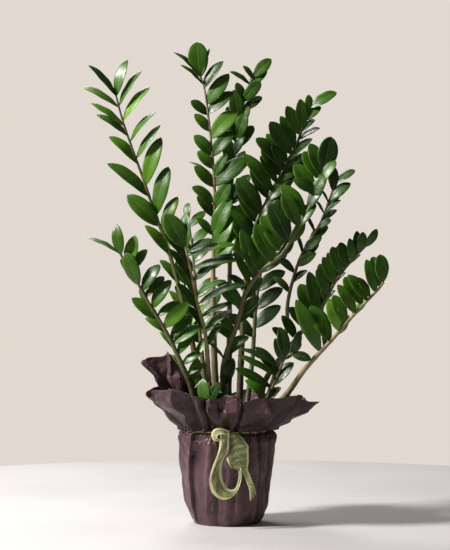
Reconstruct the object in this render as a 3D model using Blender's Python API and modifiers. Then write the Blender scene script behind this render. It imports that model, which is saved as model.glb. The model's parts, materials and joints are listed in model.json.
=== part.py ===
"""Potted ZZ plant: fronds in a nursery pot, wrapped in paper and tied with ribbon.

Metres, +Z up, origin on the floor under the middle of the pot.  -Y is the front, where the bow is.
"""

import math

import bmesh
import bpy
from mathutils import Matrix, Vector
from mathutils.bvhtree import BVHTree

NAME = "potted_zz_plant"
GAP = 0.0003  # what touching pieces keep between them

# wrapping paper: outer radius against height, up to the shoulder under the tie
PAPER = 0.0010
WRAP_BODY = (
    (0.0300, 0.0000),
    (0.0565, 0.0000),
    (0.0602, 0.0025),
    (0.0645, 0.0110),
    (0.0725, 0.0300),
    (0.0790, 0.0600),
    (0.0845, 0.1000),
    (0.0875, 0.1300),
    (0.0885, 0.1500),
    (0.0870, 0.1580),
)
NECK_RADIUS = 0.0745
NECK_LOW = 0.1630
NECK_HIGH = 0.1690
# the collar's edge: degrees round from the front towards +X, reach from the middle, height
RIM = (
    (-162, 0.132, 0.236),
    (-150, 0.140, 0.262),
    (-138, 0.146, 0.298),
    (-126, 0.150, 0.304),
    (-114, 0.152, 0.286),
    (-104, 0.142, 0.262),
    (-94, 0.130, 0.246),
    (-78, 0.143, 0.226),
    (-66, 0.138, 0.236),
    (-48, 0.134, 0.244),
    (-24, 0.124, 0.233),
    (-15, 0.110, 0.220),
    (-9, 0.120, 0.235),
    (3, 0.121, 0.236),
    (9, 0.106, 0.221),
    (15, 0.120, 0.226),
    (36, 0.140, 0.232),
    (57, 0.156, 0.237),
    (78, 0.166, 0.217),
    (96, 0.142, 0.204),
    (120, 0.146, 0.226),
    (144, 0.128, 0.214),
    (168, 0.140, 0.230),
    (186, 0.126, 0.216),
)
PLEATS = (-168, -144, -126, -102, -84, -48, -18, 6, 42, 60, 84, 108, 126, 150, 174)
PLEAT_WIDTH = 5.0  # degrees
PLEAT_DEPTH = 0.0030
WRAP_STEPS = 60
COLLAR_ROWS = 4

# nursery pot
POT_HEIGHT = 0.148
POT_BASE_RADIUS = 0.0540
POT_TOP_RADIUS = 0.0780
POT_RIM_RADIUS = 0.0815
POT_RIM_DROP = 0.012
POT_WALL = 0.0014
POT_FLOOR = 0.0020
POT_STEPS = 48
DRAIN_RADIUS = 0.0050
DRAIN_RING = 0.0380
DRAINS = 4
POT_FOOT = PAPER + GAP

# potting soil
SOIL_EDGE = 0.1330
SOIL_MIDDLE = 0.1380
SOIL_STEPS = 40
STEM_SUNK = 0.010

# ribbon
RIBBON = 0.0008
BAND_HEIGHT = 0.0050

# leaflet cage: share of the length and half-width at each of its three rings
LEAF_RINGS = ((0.20, 0.68), (0.52, 1.00), (0.82, 0.70))
LEAF_THICK = 0.0012
LEAF_WIDTH = 0.48  # share of the length
LEAF_FOLD = 0.16  # how far the edges rise, as a share of the half-width
LEAF_ARCH = 0.05  # how far the midrib arches, as a share of the length
ROOM = 1.12  # a leaflet keeps this much more room than its own outline
ROOM_THICK = 0.0034
STEM_POINTS = 14
STEM_ROOM = 0.0014
STEM_END = 0.0025  # a stem runs on this far inside its last leaflet


def feathered(low, high, count, middle_low, middle_high, reach, rise):
    """Rows of leaflets in two even ranks, for a stem that leans away to the back."""
    rows = []
    for number in range(count):
        share = number / (count - 1)
        side = 0 if number == count - 1 else (-1, 1)[number % 2]
        size = 1 - 0.3 * share
        middle = middle_low + (middle_high - middle_low) * share
        rows.append((low + (high - low) * share, middle + side * reach * size,
                     low + (high - low) * share + rise * size, 4 - 14 * share, 30))
    return tuple(rows)


# Each frond: route of its stem, its radius at foot and tip, and its leaflets.  All in millimetres.
# A leaflet has the height of its foot on the stem, across and height of its tip, how far the tip
# comes forward, degrees its upper face is turned up from the front, and, where it isn't the usual
# one, its width as a share of its length.
FRONDS = {
    "c": dict(
        route=((-24, -40, 130), (-33, -48, 270), (-38, -53, 337), (-52, -60, 393), (-59, -64, 426),
               (-66, -68, 461), (-73, -72, 495)),
        radii=(7.0, 2.0),
        leaflets=((495, -108, 553, 6, 8, 0.56), (488, -74, 556, -6, 40), (485, -25, 508, 8, 45),
                  (478, 14, 502, 10, 50, 0.26), (460, -110, 520, 2, 50, 0.30),
                  (455, 18, 474, 12, 52, 0.28), (434, 14, 486, 2, 48, 0.28),
                  (431, -101, 494, 8, 52, 0.30), (408, -4, 438, 12, 50, 0.32),
                  (403, -94, 468, 6, 52, 0.30), (393, 32, 433, 14, 55, 0.26),
                  (375, -86, 432, 6, 52, 0.32), (370, 8, 398, 10, 50, 0.32),
                  (347, 8, 384, 6, 50, 0.34), (345, -72, 396, 4, 50, 0.34),
                  (320, -12, 356, 8, 46))),
    "d": dict(
        route=((-44, -28, 130), (-61, -44, 236), (-80, -56, 286), (-106, -68, 342),
               (-139, -80, 398), (-155, -85, 428), (-174, -90, 459), (-187, -92, 483)),
        radii=(7.2, 2.0),
        leaflets=((483, -245, 513, -4, 62, 0.24), (480, -194, 534, 2, 20), (459, -161, 515, -4, 12),
                  (449, -142, 492, -12, 25), (426, -177, 484, 12, 12, 0.44),
                  (417, -119, 464, 6, 32), (386, -100, 437, 8, 30), (395, -154, 426, -14, 45),
                  (367, -167, 405, 8, 30), (352, -68, 397, 12, 8, 0.46), (342, -143, 372, -4, 52),
                  (323, -45, 357, 8, 44), (312, -118, 346, -10, 50), (287, -47, 309, 10, 36, 0.46),
                  (243, -52, 298, 10, 8, 0.44),
                  (438, -186, 474, -6, 36, 0.44), (405, -112, 444, -8, 34, 0.44),
                  (372, -84, 400, -4, 36, 0.44), (330, -66, 376, -6, 30, 0.44),
                  (304, -58, 344, 4, 30, 0.44), (274, -96, 304, -8, 44, 0.40),
                  (268, -36, 288, -4, 40, 0.44), (226, -38, 262, -6, 34, 0.44))),
    "g": dict(
        route=((6, -30, 130), (-7, -32, 258), (1, -38, 310), (21, -46, 367), (32, -50, 411),
               (60, -57, 452), (96, -63, 481), (132, -67, 539), (152, -69, 580), (170, -70, 630)),
        radii=(7.2, 2.2),
        leaflets=((630, 183, 688, 8, 8, 0.60), (620, 147, 677, 4, 18), (604, 190, 646, 10, 34),
                  (592, 117, 614, 12, 10, 0.52), (575, 172, 622, 10, 30),
                  (530, 99, 590, 10, 10, 0.44), (502, 76, 570, 10, 10), (468, 51, 535, 12, 12),
                  (440, 26, 527, 8, 16, 0.32), (426, 12, 487, 14, 40, 0.34),
                  (418, 3, 447, 12, 46), (400, 62, 442, -12, 40), (372, 56, 408, -10, 40),
                  (345, -18, 376, 8, 40), (318, 38, 336, 12, 26, 0.55), (248, 10, 297, 10, 12, 0.5),
                  (612, 136, 664, -4, 22), (584, 120, 642, -6, 22), (560, 166, 604, 4, 34),
                  (548, 96, 606, -6, 22), (528, 154, 574, 0, 34), (500, 138, 548, -6, 36),
                  (484, 62, 552, -6, 20), (474, 120, 516, -8, 36), (450, 40, 514, -8, 24),
                  (448, 98, 486, -10, 36), (388, -16, 436, 6, 34), (356, 50, 392, -12, 40),
                  (330, -24, 362, -8, 36), (300, 32, 332, -8, 40), (292, -36, 330, 6, 36))),
    "j": dict(
        route=((38, -12, 130), (68, -25, 187), (110, -40, 238), (139, -54, 280), (186, -72, 333),
               (228, -86, 382), (262, -96, 418), (273, -99, 433)),
        radii=(7.2, 2.4),
        leaflets=((433, 267, 481, 6, 15, 0.52), (415, 243, 472, 10, 15, 0.42),
                  (400, 212, 446, 14, 30), (405, 228, 442, 2, 45), (378, 194, 428, 14, 18, 0.42),
                  (372, 246, 402, -16, 50), (360, 186, 410, 6, 12, 0.46),
                  (346, 178, 400, 14, 12, 0.42), (340, 218, 374, -16, 50),
                  (309, 122, 402, 18, 10, 0.32), (328, 156, 366, 4, 36),
                  (424, 256, 478, -6, 18), (392, 206, 442, -4, 24), (354, 178, 404, -6, 18),
                  (328, 148, 392, -6, 16), (316, 172, 350, -12, 46))),
    "i": dict(
        route=((50, 2, 130), (62, -6, 230), (78, -10, 272), (131, -20, 340), (164, -26, 378),
               (193, -31, 433), (222, -35, 471), (247, -38, 497)),
        radii=(7.0, 2.0),
        leaflets=((497, 267, 526, 6, 28), (484, 242, 521, 12, 22), (471, 218, 510, 14, 20),
                  (460, 201, 503, 10, 18), (462, 238, 484, -16, 50), (446, 187, 495, 14, 16),
                  (429, 171, 477, 14, 12), (430, 212, 452, -18, 50), (409, 161, 456, 14, 12, 0.44),
                  (396, 176, 450, 2, 30), (375, 146, 451, 14, 12, 0.34),
                  (396, 192, 420, -18, 50), (350, 112, 388, 12, 28), (345, 156, 374, -14, 45),
                  (318, 82, 352, 10, 44),
                  (478, 232, 524, 2, 24), (455, 198, 498, -4, 20), (438, 180, 486, -4, 16),
                  (420, 166, 466, -6, 16), (385, 152, 438, -6, 20), (366, 132, 430, -4, 16),
                  (366, 174, 398, -14, 45), (330, 100, 374, -6, 30))),
    "a": dict(
        route=((-30, 4, 130), (-62, 8, 320), (-103, 12, 481), (-129, 13, 552), (-150, 12, 615),
               (-170, 8, 670), (-187, 4, 720), (-195, 2, 749), (-200, 1, 769)),
        radii=(7.0, 1.7),
        leaflets=((769, -181, 833, 4, 34, 0.38), (767, -248, 824, 6, 58, 0.34),
                  (749, -156, 814, 8, 56, 0.34), (746, -258, 786, 8, 60, 0.34),
                  (722, -142, 785, 8, 50, 0.34), (712, -244, 756, 8, 58, 0.34),
                  (695, -233, 736, 10, 55, 0.36), (684, -132, 741, 8, 60, 0.34),
                  (654, -122, 717, 8, 52, 0.34), (645, -210, 697, 8, 40, 0.34),
                  (606, -121, 694, 8, 18, 0.34), (586, -214, 649, 8, 44, 0.34),
                  (552, -108, 641, 8, 24, 0.34), (533, -179, 590, 10, 10, 0.42),
                  (521, -91, 587, 8, 26, 0.36), (482, -146, 536, 10, 36, 0.36),
                  (474, -114, 527, -10, 50, 0.36), (450, -70, 494, -6, 36, 0.40),
                  (430, -120, 474, -8, 44, 0.40), (404, -56, 446, -8, 40, 0.40),
                  (376, -104, 418, -8, 40, 0.40), (350, -44, 392, -8, 36, 0.40),
                  (316, -92, 356, -6, 40, 0.40), (296, -30, 336, -8, 38, 0.40))),
    "b": dict(
        route=((-8, -6, 130), (-21, -6, 258), (-25, -4, 420), (-23, -2, 540), (-23, 0, 616),
               (-28, 0, 675), (-33, 0, 724), (-40, -1, 778), (-48, -3, 803)),
        radii=(7.5, 1.8),
        leaflets=((803, -55, 863, 8, 0, 0.58), (801, -33, 854, -2, 45, 0.34),
                  (802, -93, 848, 4, 58, 0.30), (788, -82, 824, 8, 60, 0.30),
                  (780, -8, 830, 8, 45), (752, 3, 807, 8, 20), (735, 10, 776, 2, 30),
                  (733, -64, 759, 6, 24, 0.5), (703, -58, 735, 6, 20, 0.5), (690, 16, 740, 6, 18),
                  (660, -58, 697, 6, 12, 0.48), (658, 10, 704, 8, 22), (636, -52, 668, 6, 16, 0.5),
                  (622, 1, 663, 10, 20, 0.42), (605, 33, 655, 14, 24), (603, -58, 641, 10, 26),
                  (620, -69, 652, -8, 66, 0.24), (575, -62, 604, 10, 36), (560, 5, 612, 12, 16),
                  (548, -52, 588, 8, 30), (512, 6, 583, 14, 24), (480, 8, 551, 14, 30),
                  (455, 13, 518, 16, 34), (516, -54, 548, 8, 36))),
    "f": dict(
        route=((20, 18, 130), (26, 30, 300), (36, 42, 450), (50, 47, 530), (70, 50, 574),
               (87, 51, 604), (113, 51, 658), (124, 50, 675), (140, 47, 720), (152, 44, 752)),
        radii=(7.2, 2.2),
        leaflets=((752, 199, 779, 8, 28, 0.42), (727, 171, 753, 2, 26), (712, 134, 766, 10, 10),
                  (701, 109, 753, 10, 10), (690, 169, 715, 4, 58), (666, 79, 725, 10, 12),
                  (658, 155, 696, 4, 46), (642, 55, 697, 8, 40), (636, 84, 684, 12, 34),
                  (640, 150, 668, -8, 40), (612, 62, 663, 8, 44), (598, 31, 667, 12, 24, 0.34),
                  (600, 134, 640, -6, 40), (556, 19, 622, 12, 12), (566, 116, 612, -6, 40),
                  (520, 92, 566, -8, 36), (500, 6, 564, 10, 20), (470, 0, 520, 8, 36),
                  (738, 150, 774, 4, 16, 0.46), (706, 160, 730, 0, 44), (676, 100, 738, -6, 26),
                  (650, 74, 706, -8, 30), (626, 66, 682, 0, 22), (616, 148, 652, -2, 36),
                  (584, 44, 642, -6, 24), (580, 124, 628, 6, 30), (540, 22, 592, -6, 24),
                  (546, 108, 596, 4, 34), (512, 12, 574, -8, 24), (486, 64, 532, 8, 30),
                  (484, 0, 540, -4, 30))),
    "h": dict(
        route=((42, 34, 130), (84, 46, 250), (108, 52, 340), (112, 52, 400), (132, 49, 472),
               (156, 44, 515), (171, 40, 541), (185, 36, 578), (198, 32, 616)),
        radii=(6.2, 1.8),
        leaflets=((616, 232, 636, 6, 45), (598, 193, 644, 6, 25), (580, 223, 613, 8, 30),
                  (576, 170, 602, 2, 56, 0.36), (552, 205, 583, 8, 50, 0.36),
                  (556, 160, 584, -2, 56, 0.36), (530, 189, 546, 10, 24, 0.46),
                  (522, 143, 557, -2, 54, 0.36), (487, 172, 517, 10, 20, 0.5),
                  (483, 127, 522, 0, 54, 0.36), (461, 162, 486, 10, 20, 0.5),
                  (448, 92, 478, -4, 44), (430, 146, 455, -2, 44), (412, 86, 444, -6, 44),
                  (600, 186, 642, -6, 30), (566, 208, 598, -6, 40), (540, 200, 566, -6, 40),
                  (505, 184, 536, -6, 30), (472, 168, 504, -6, 30))),
    "e": dict(
        route=((0, 22, 130), (4, 44, 300), (5, 62, 450), (8, 72, 587), (14, 78, 665), (22, 79, 720),
               (30, 78, 765), (43, 76, 800), (50, 74, 812)),
        radii=(7.0, 1.8),
        leaflets=((812, 81, 842, 8, 12, 0.52), (806, 31, 831, 4, 40), (795, 6, 821, 4, 50, 0.36),
                  (765, 61, 801, 10, 8, 0.5), (745, 64, 776, -6, 36), (720, 13, 786, 10, 10),
                  (716, 40, 756, 8, 20), (692, 34, 742, 10, 18), (690, -8, 728, 2, 30),
                  (665, 30, 707, 4, 30), (640, -6, 688, 4, 30), (622, 40, 662, -2, 36),
                  (596, -12, 640, 2, 30), (574, 38, 616, -6, 36), (548, -16, 590, 0, 30),
                  (524, 30, 566, -6, 30),
                  (790, 72, 828, -4, 16), (755, 20, 802, -6, 30), (700, 2, 756, 4, 26),
                  (676, 48, 722, -6, 26), (650, -12, 706, -6, 26), (630, 32, 674, 8, 26),
                  (606, -14, 656, 8, 26), (585, 42, 630, 6, 30), (560, -14, 608, 8, 26),
                  (536, 38, 580, 8, 30))),
    "k": dict(
        route=((28, -38, 130), (53, -56, 198), (70, -67, 228), (83, -71, 254), (93, -75, 279),
               (101, -79, 298), (116, -84, 309)),
        radii=(5.0, 2.0),
        leaflets=((309, 147, 298, 6, 18, 0.52), (306, 128, 347, 4, 30), (300, 93, 354, 0, 16),
                  (292, 84, 334, 10, 18, 0.46), (280, 26, 319, 6, 58, 0.24),
                  (266, 19, 306, 12, 54, 0.24), (246, 16, 283, 10, 44, 0.30),
                  (296, 130, 328, -10, 30), (270, 52, 320, -6, 40), (250, 116, 292, 4, 40),
                  (225, 34, 262, -4, 44), (215, 94, 248, 2, 44))),
    "l": dict(
        route=((-18, -58, 130), (-28, -62, 180), (-36, -66, 218)),
        radii=(4.4, 1.8),
        leaflets=((218, -12, 257, 6, 16, 0.48), (212, -44, 262, -4, 24), (200, 0, 238, 8, 26),
                  (190, 14, 226, 4, 36), (184, -60, 226, 6, 30), (176, 10, 206, -8, 40))),
    "m": dict(
        route=((26, 52, 130), (46, 78, 280), (55, 98, 400), (74, 122, 500), (92, 142, 568)),
        radii=(6.2, 1.8),
        leaflets=feathered(330, 568, 15, 50, 94, 46, 44)),
    "n": dict(
        route=((-26, 40, 130), (-44, 62, 280), (-56, 80, 400), (-64, 98, 490), (-72, 112, 550)),
        radii=(6.2, 1.8),
        leaflets=feathered(320, 550, 15, -48, -74, 44, 44)),
}
MM = 0.001
# what a leaflet tries, in turn, where another frond is in its way: further forward in millimetres,
# turned further up in degrees, and the share of its length that is left
SWINGS = tuple(
    (forward, turned_up, size)
    for size in (1.0, 0.88, 0.75, 0.62)
    for forward in (0, 8, -8, 16, -16, 26, -26, 38)
    for turned_up in (0, 20, -20, 40)
)


def blend(table, place):
    """Read a table of rows at a place in its first column, in straight lines."""
    for low, high in zip(table, table[1:]):
        if place <= high[0]:
            share = (place - low[0]) / (high[0] - low[0])
            return tuple(a + (b - a) * share for a, b in zip(low[1:], high[1:]))
    return table[-1][1:]


def collar_edge(degrees):
    """Reach and height of the collar's edge in one direction."""
    first, last = RIM[0], RIM[-1]
    around = (degrees - first[0]) % 360 + first[0]
    closed = RIM + ((first[0] + 360,) + first[1:],)
    return blend(closed, max(around, first[0]) if around <= closed[-1][0] else last[0])


def collar_radius(degrees, share):
    """Radius of the collar, a share of the way up from the tie to its edge."""
    reach, height = collar_edge(degrees)
    return NECK_RADIUS + (reach - NECK_RADIUS) * share ** 0.85


def smooth_route(points, count):
    """Even points along a Catmull-Rom curve through the given ones."""
    knots = [Vector(p) for p in points]
    knots = [2 * knots[0] - knots[1]] + knots + [2 * knots[-1] - knots[-2]]
    fine = []
    for a, b, c, d in zip(knots, knots[1:], knots[2:], knots[3:]):
        for step in range(12):
            t = step / 12
            fine.append(0.5 * (2 * b + (c - a) * t + (2 * a - 5 * b + 4 * c - d) * t * t
                               + (3 * b - 3 * c + d - a) * t ** 3))
    fine.append(knots[-2])
    reach = [0.0]
    for a, b in zip(fine, fine[1:]):
        reach.append(reach[-1] + (b - a).length)
    even = []
    for step in range(count):
        want = reach[-1] * step / (count - 1)
        spot = next(i for i in range(1, len(fine)) if reach[i] >= want - 1e-9)
        share = (want - reach[spot - 1]) / (reach[spot] - reach[spot - 1])
        even.append(fine[spot - 1].lerp(fine[spot], share))
    return even


def stem_place(route, height):
    """Point and direction of a stem where it passes a height, kept inside its end."""
    height = min(height, route[-1].z - STEM_END)
    for low, high in zip(route, route[1:]):
        if height <= high.z:
            break
    step = high - low
    share = min(max((height - low.z) / step.z, 0.0), 1.0)
    return low + step * share, step.normalized()


def stem_radius(radii, share):
    """A stem thins quickly over its foot and evenly after it."""
    base, tip = radii
    return (tip + (base - tip) * (1 - share) ** 1.3) * MM


def leaflet_cage(length, width, thick):
    """A leaflet as a four-sided ball, drawn out into a blade with its base at the origin.

    Its midrib runs along +Y and its upper face looks along +Z.
    """
    cage = bmesh.new()
    bmesh.ops.create_uvsphere(cage, u_segments=4, v_segments=len(LEAF_RINGS) + 1, radius=1.0)
    heights = sorted({round(v.co.z, 4) for v in cage.verts})
    rows = ((0.0, 0.0),) + LEAF_RINGS + ((1.0, 0.0),)
    for v in cage.verts:
        along, wide = rows[heights.index(round(v.co.z, 4))]
        flat = Vector((v.co.x, v.co.y))
        if flat.length > 1e-6:
            flat.normalize()
        across = flat.x * width / 2 * wide
        rise = abs(across) * LEAF_FOLD + LEAF_ARCH * length * 4 * along * (1 - along)
        v.co = Vector((across, along * length, rise + flat.y * thick / 2))
    bmesh.ops.recalc_face_normals(cage, faces=cage.faces)
    return cage


def leaflet_place(route, leaflet, swing):
    """Where a leaflet lies, as a matrix, with its length and width."""
    foot, across, height, forward, turned_up, *share = leaflet
    more_forward, more_up, size = swing
    spot, along = stem_place(route, foot * MM)
    tip = Vector((across * MM, spot.y - (forward + more_forward) * MM, height * MM))
    midrib = (tip - spot).normalized()
    front = Vector((0, -1, 0))
    front = (front - midrib * front.dot(midrib)).normalized()
    up = front.cross(midrib)
    if up.dot(along) < 0:
        up = -up
    turn = math.radians(turned_up + more_up)
    out = front * math.cos(turn) + up * math.sin(turn)
    frame = Matrix((midrib.cross(out), midrib, out)).transposed().to_4x4()
    length = (tip - spot).length * size
    return Matrix.Translation(spot) @ frame, length, length * (share[0] if share else LEAF_WIDTH)


def stem_tree(route, radii):
    """Search tree of a stem, a little fatter than it is."""
    spots, faces = [], []
    for number, spot in enumerate(route):
        nearby = route[min(number + 1, len(route) - 1)] - route[max(number - 1, 0)]
        east = nearby.cross(Vector((0, 1, 0))).normalized()
        north = nearby.cross(east).normalized()
        radius = stem_radius(radii, number / (len(route) - 1)) + STEM_ROOM
        for corner in range(6):
            turn = math.tau * corner / 6
            spots.append(spot + (east * math.cos(turn) + north * math.sin(turn)) * radius)
        if number:
            low = 6 * (number - 1)
            faces += [(low + c, low + (c + 1) % 6, low + 6 + (c + 1) % 6, low + 6 + c)
                      for c in range(6)]
    return BVHTree.FromPolygons(spots, faces)


def in_paper(spots):
    """Whether any point is in the paper's collar, or beyond the neck."""
    for s in spots:
        degrees = math.degrees(math.atan2(s.x, -s.y))
        radius = math.hypot(s.x, s.y)
        height = collar_edge(degrees)[1] + 0.004
        if NECK_HIGH < s.z < height:
            share = min(1.0, (s.z - NECK_HIGH) / (height - NECK_HIGH))
            if radius > collar_radius(degrees, share) - 0.007:
                return True
        elif s.z <= NECK_HIGH and radius > NECK_RADIUS - 0.005:
            return True
    return False


def place_leaflets():
    """Settle every frond's leaflets so that no two fronds run into each other."""
    routes = {key: smooth_route([Vector(p) * MM for p in frond["route"]], STEM_POINTS)
              for key, frond in FRONDS.items()}
    stems = {key: stem_tree(routes[key], FRONDS[key]["radii"]) for key in FRONDS}
    settled = {key: [] for key in FRONDS}
    taken = []
    for key, frond in FRONDS.items():
        others = [stems[other] for other in FRONDS if other != key]
        for leaflet in frond["leaflets"]:
            for swing in SWINGS:
                place, length, width = leaflet_place(routes[key], leaflet, swing)
                cage = leaflet_cage(length * 1.03, width * ROOM, ROOM_THICK)
                spots = [place @ v.co for v in cage.verts]
                tree = BVHTree.FromPolygons(spots, [[v.index for v in f.verts] for f in cage.faces])
                cage.free()
                middle = place @ Vector((0, length / 2, 0))
                if in_paper(spots) or any(tree.overlap(stem) for stem in others):
                    continue
                if any(key != other and (middle - far).length < (length + wide) * 0.6
                       and tree.overlap(there) for other, there, far, wide in taken):
                    continue
                taken.append((key, tree, middle, length))
                settled[key].append((place, length, width))
                break
    return routes, settled


def clear_scene():
    for thing in list(bpy.data.objects):
        bpy.data.objects.remove(thing, do_unlink=True)


def group(name, parent=None):
    made = bpy.data.collections.new(name)
    (parent or bpy.context.scene.collection).children.link(made)
    return made


def material(name, colour, roughness):
    made = bpy.data.materials.new(name)
    made.use_nodes = True
    shader = made.node_tree.nodes["Principled BSDF"]
    shader.inputs["Base Color"].default_value = (*colour, 1)
    shader.inputs["Roughness"].default_value = roughness
    shader.inputs["Metallic"].default_value = 0.0
    return made


def mesh_object(name, form, surface, where, smooth=True):
    """Make an object from a bmesh, which is freed."""
    mesh = bpy.data.meshes.new(name)
    form.to_mesh(mesh)
    form.free()
    if surface:
        mesh.materials.append(surface)
    if smooth:
        mesh.shade_smooth()
    made = bpy.data.objects.new(name, mesh)
    where.objects.link(made)
    return made


def cutter(name, form, where):
    made = mesh_object(name, form, None, where, smooth=False)
    made.hide_render = True
    made.display_type = "WIRE"
    return made


def boolean(thing, operation, other):
    """Cut or join with an object, or with every object of a collection."""
    step = thing.modifiers.new(other.name, "BOOLEAN")
    step.operation = operation
    step.solver = "EXACT"
    if isinstance(other, bpy.types.Collection):
        step.operand_type = "COLLECTION"
        step.collection = other
    else:
        step.object = other
    return step


def turned(name, profile, steps, surface, where):
    """Turn a profile of (radius, height) round the upright axis."""
    form = bmesh.new()
    spots = [form.verts.new((radius, 0, height)) for radius, height in profile]
    for low, high in zip(spots, spots[1:]):
        form.edges.new((low, high))
    made = mesh_object(name, form, surface, where, smooth=False)
    screw = made.modifiers.new("turn", "SCREW")
    screw.steps = steps
    screw.render_steps = steps
    screw.use_merge_vertices = True
    screw.merge_threshold = 0.00005
    return made


def surface_sheet(name, columns, rows, spot, thick, surface, where, around=False):
    """A thin solid on a grid of points spot(column, row), closed round its columns if asked."""
    form = bmesh.new()
    grid = [[form.verts.new(spot(c, r)) for c in range(columns)] for r in range(rows)]
    for low, high in zip(grid, grid[1:]):
        for c in range(columns if around else columns - 1):
            d = (c + 1) % columns
            form.faces.new((low[c], low[d], high[d], high[c]))
    bmesh.ops.remove_doubles(form, verts=form.verts, dist=0.00005)
    bmesh.ops.recalc_face_normals(form, faces=form.faces)
    made = mesh_object(name, form, surface, where)
    skin = made.modifiers.new("thickness", "SOLIDIFY")
    skin.thickness = thick
    skin.offset = 0
    return made


def build_pot(parts, cutters, plastic):
    top, low = POT_FOOT + POT_HEIGHT, POT_FOOT
    rim = top - POT_RIM_DROP
    profile = (
        (0, low + POT_FLOOR),
        (POT_BASE_RADIUS - POT_WALL, low + POT_FLOOR),
        (POT_TOP_RADIUS - POT_WALL, rim),
        (POT_RIM_RADIUS - POT_WALL, rim + 0.003),
        (POT_RIM_RADIUS - POT_WALL, top),
        (POT_RIM_RADIUS, top),
        (POT_RIM_RADIUS, rim),
        (POT_TOP_RADIUS, rim),
        (POT_BASE_RADIUS, low),
        (0, low),
    )
    pot = turned("nursery_pot", profile, POT_STEPS, plastic, parts)
    for number in range(DRAINS):
        turn = math.tau * (number + 0.5) / DRAINS
        form = bmesh.new()
        bmesh.ops.create_cone(form, cap_ends=True, segments=12, radius1=DRAIN_RADIUS,
                              radius2=DRAIN_RADIUS, depth=4 * POT_FLOOR)
        drain = cutter(f"drain_{number}", form, cutters)
        drain.location = (DRAIN_RING * math.cos(turn), DRAIN_RING * math.sin(turn), low)
        boolean(pot, "DIFFERENCE", drain)


def build_soil(parts, cutters, earth, routes):
    floor = POT_FOOT + POT_FLOOR + GAP
    slope = (POT_TOP_RADIUS - POT_BASE_RADIUS) / (POT_HEIGHT - POT_RIM_DROP - POT_FLOOR)
    foot = POT_BASE_RADIUS - POT_WALL - 2 * GAP
    edge = foot + slope * (SOIL_EDGE - floor)
    profile = (
        (0, SOIL_MIDDLE),
        (edge * 0.4, SOIL_MIDDLE - 0.001),
        (edge * 0.8, SOIL_EDGE + 0.0015),
        (edge, SOIL_EDGE),
        (foot, floor),
        (0, floor),
    )
    soil = turned("potting_soil", profile, SOIL_STEPS, earth, parts)
    sockets = group("stem_sockets", cutters)
    for key, route in routes.items():
        foot_radius = stem_radius(FRONDS[key]["radii"], 0) + 2 * GAP
        along = (route[1] - route[0]).normalized()
        form = bmesh.new()
        bmesh.ops.create_cone(form, cap_ends=True, segments=12, radius1=foot_radius * 1.04,
                              radius2=foot_radius * 1.04, depth=0.060)
        socket = cutter(f"socket_{key}", form, sockets)
        middle = route[0] + along * (0.030 - GAP)
        turn = Vector((0, 0, 1)).rotation_difference(along).to_matrix().to_4x4()
        socket.matrix_world = Matrix.Translation(middle) @ turn
        boolean(soil, "DIFFERENCE", socket)


def build_wrap(parts, paper):
    """One sheet: folded flat under the pot, pleated up its side, tied, and flared above the tie."""
    inset = PAPER / 2
    rows = []
    rows += [("body", radius, height) for radius, height in WRAP_BODY]
    rows += [("neck", NECK_RADIUS, NECK_LOW), ("neck", NECK_RADIUS, NECK_HIGH)]
    rows += [("collar", row / COLLAR_ROWS, 0) for row in range(1, COLLAR_ROWS + 1)]
    rows.insert(0, ("body", 0.0, 0.0))

    def spot(column, row):
        kind, radius, height = rows[row]
        degrees = 360 * column / WRAP_STEPS
        signed = (degrees + 180) % 360 - 180
        if kind == "collar":
            share = radius
            reach, top = collar_edge(signed)
            radius = collar_radius(signed, share)
            height = NECK_HIGH + (top - NECK_HIGH) * share
        else:
            near = min(abs((signed - p + 180) % 360 - 180) for p in PLEATS)
            depth = PLEAT_DEPTH * min(1.0, height / 0.03)
            radius -= depth * math.exp(-((near / PLEAT_WIDTH) ** 2)) if kind == "body" else 0
            radius = max(0.0, radius - inset)
            height = max(inset, height)
        turn = math.radians(signed)
        return radius * math.sin(turn), -radius * math.cos(turn), height

    wrap = surface_sheet("paper_wrap", WRAP_STEPS, len(rows), spot, PAPER, paper, parts, around=True)
    return wrap


def strip(name, centre, width, thick, surface, where):
    """A ribbon on a line of (point, width direction) pairs."""
    def spot(column, row):
        point, beside = centre[row]
        return Vector(point) + Vector(beside).normalized() * width * (column - 0.5)
    return surface_sheet(name, 2, len(centre), spot, thick, surface, where)


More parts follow.
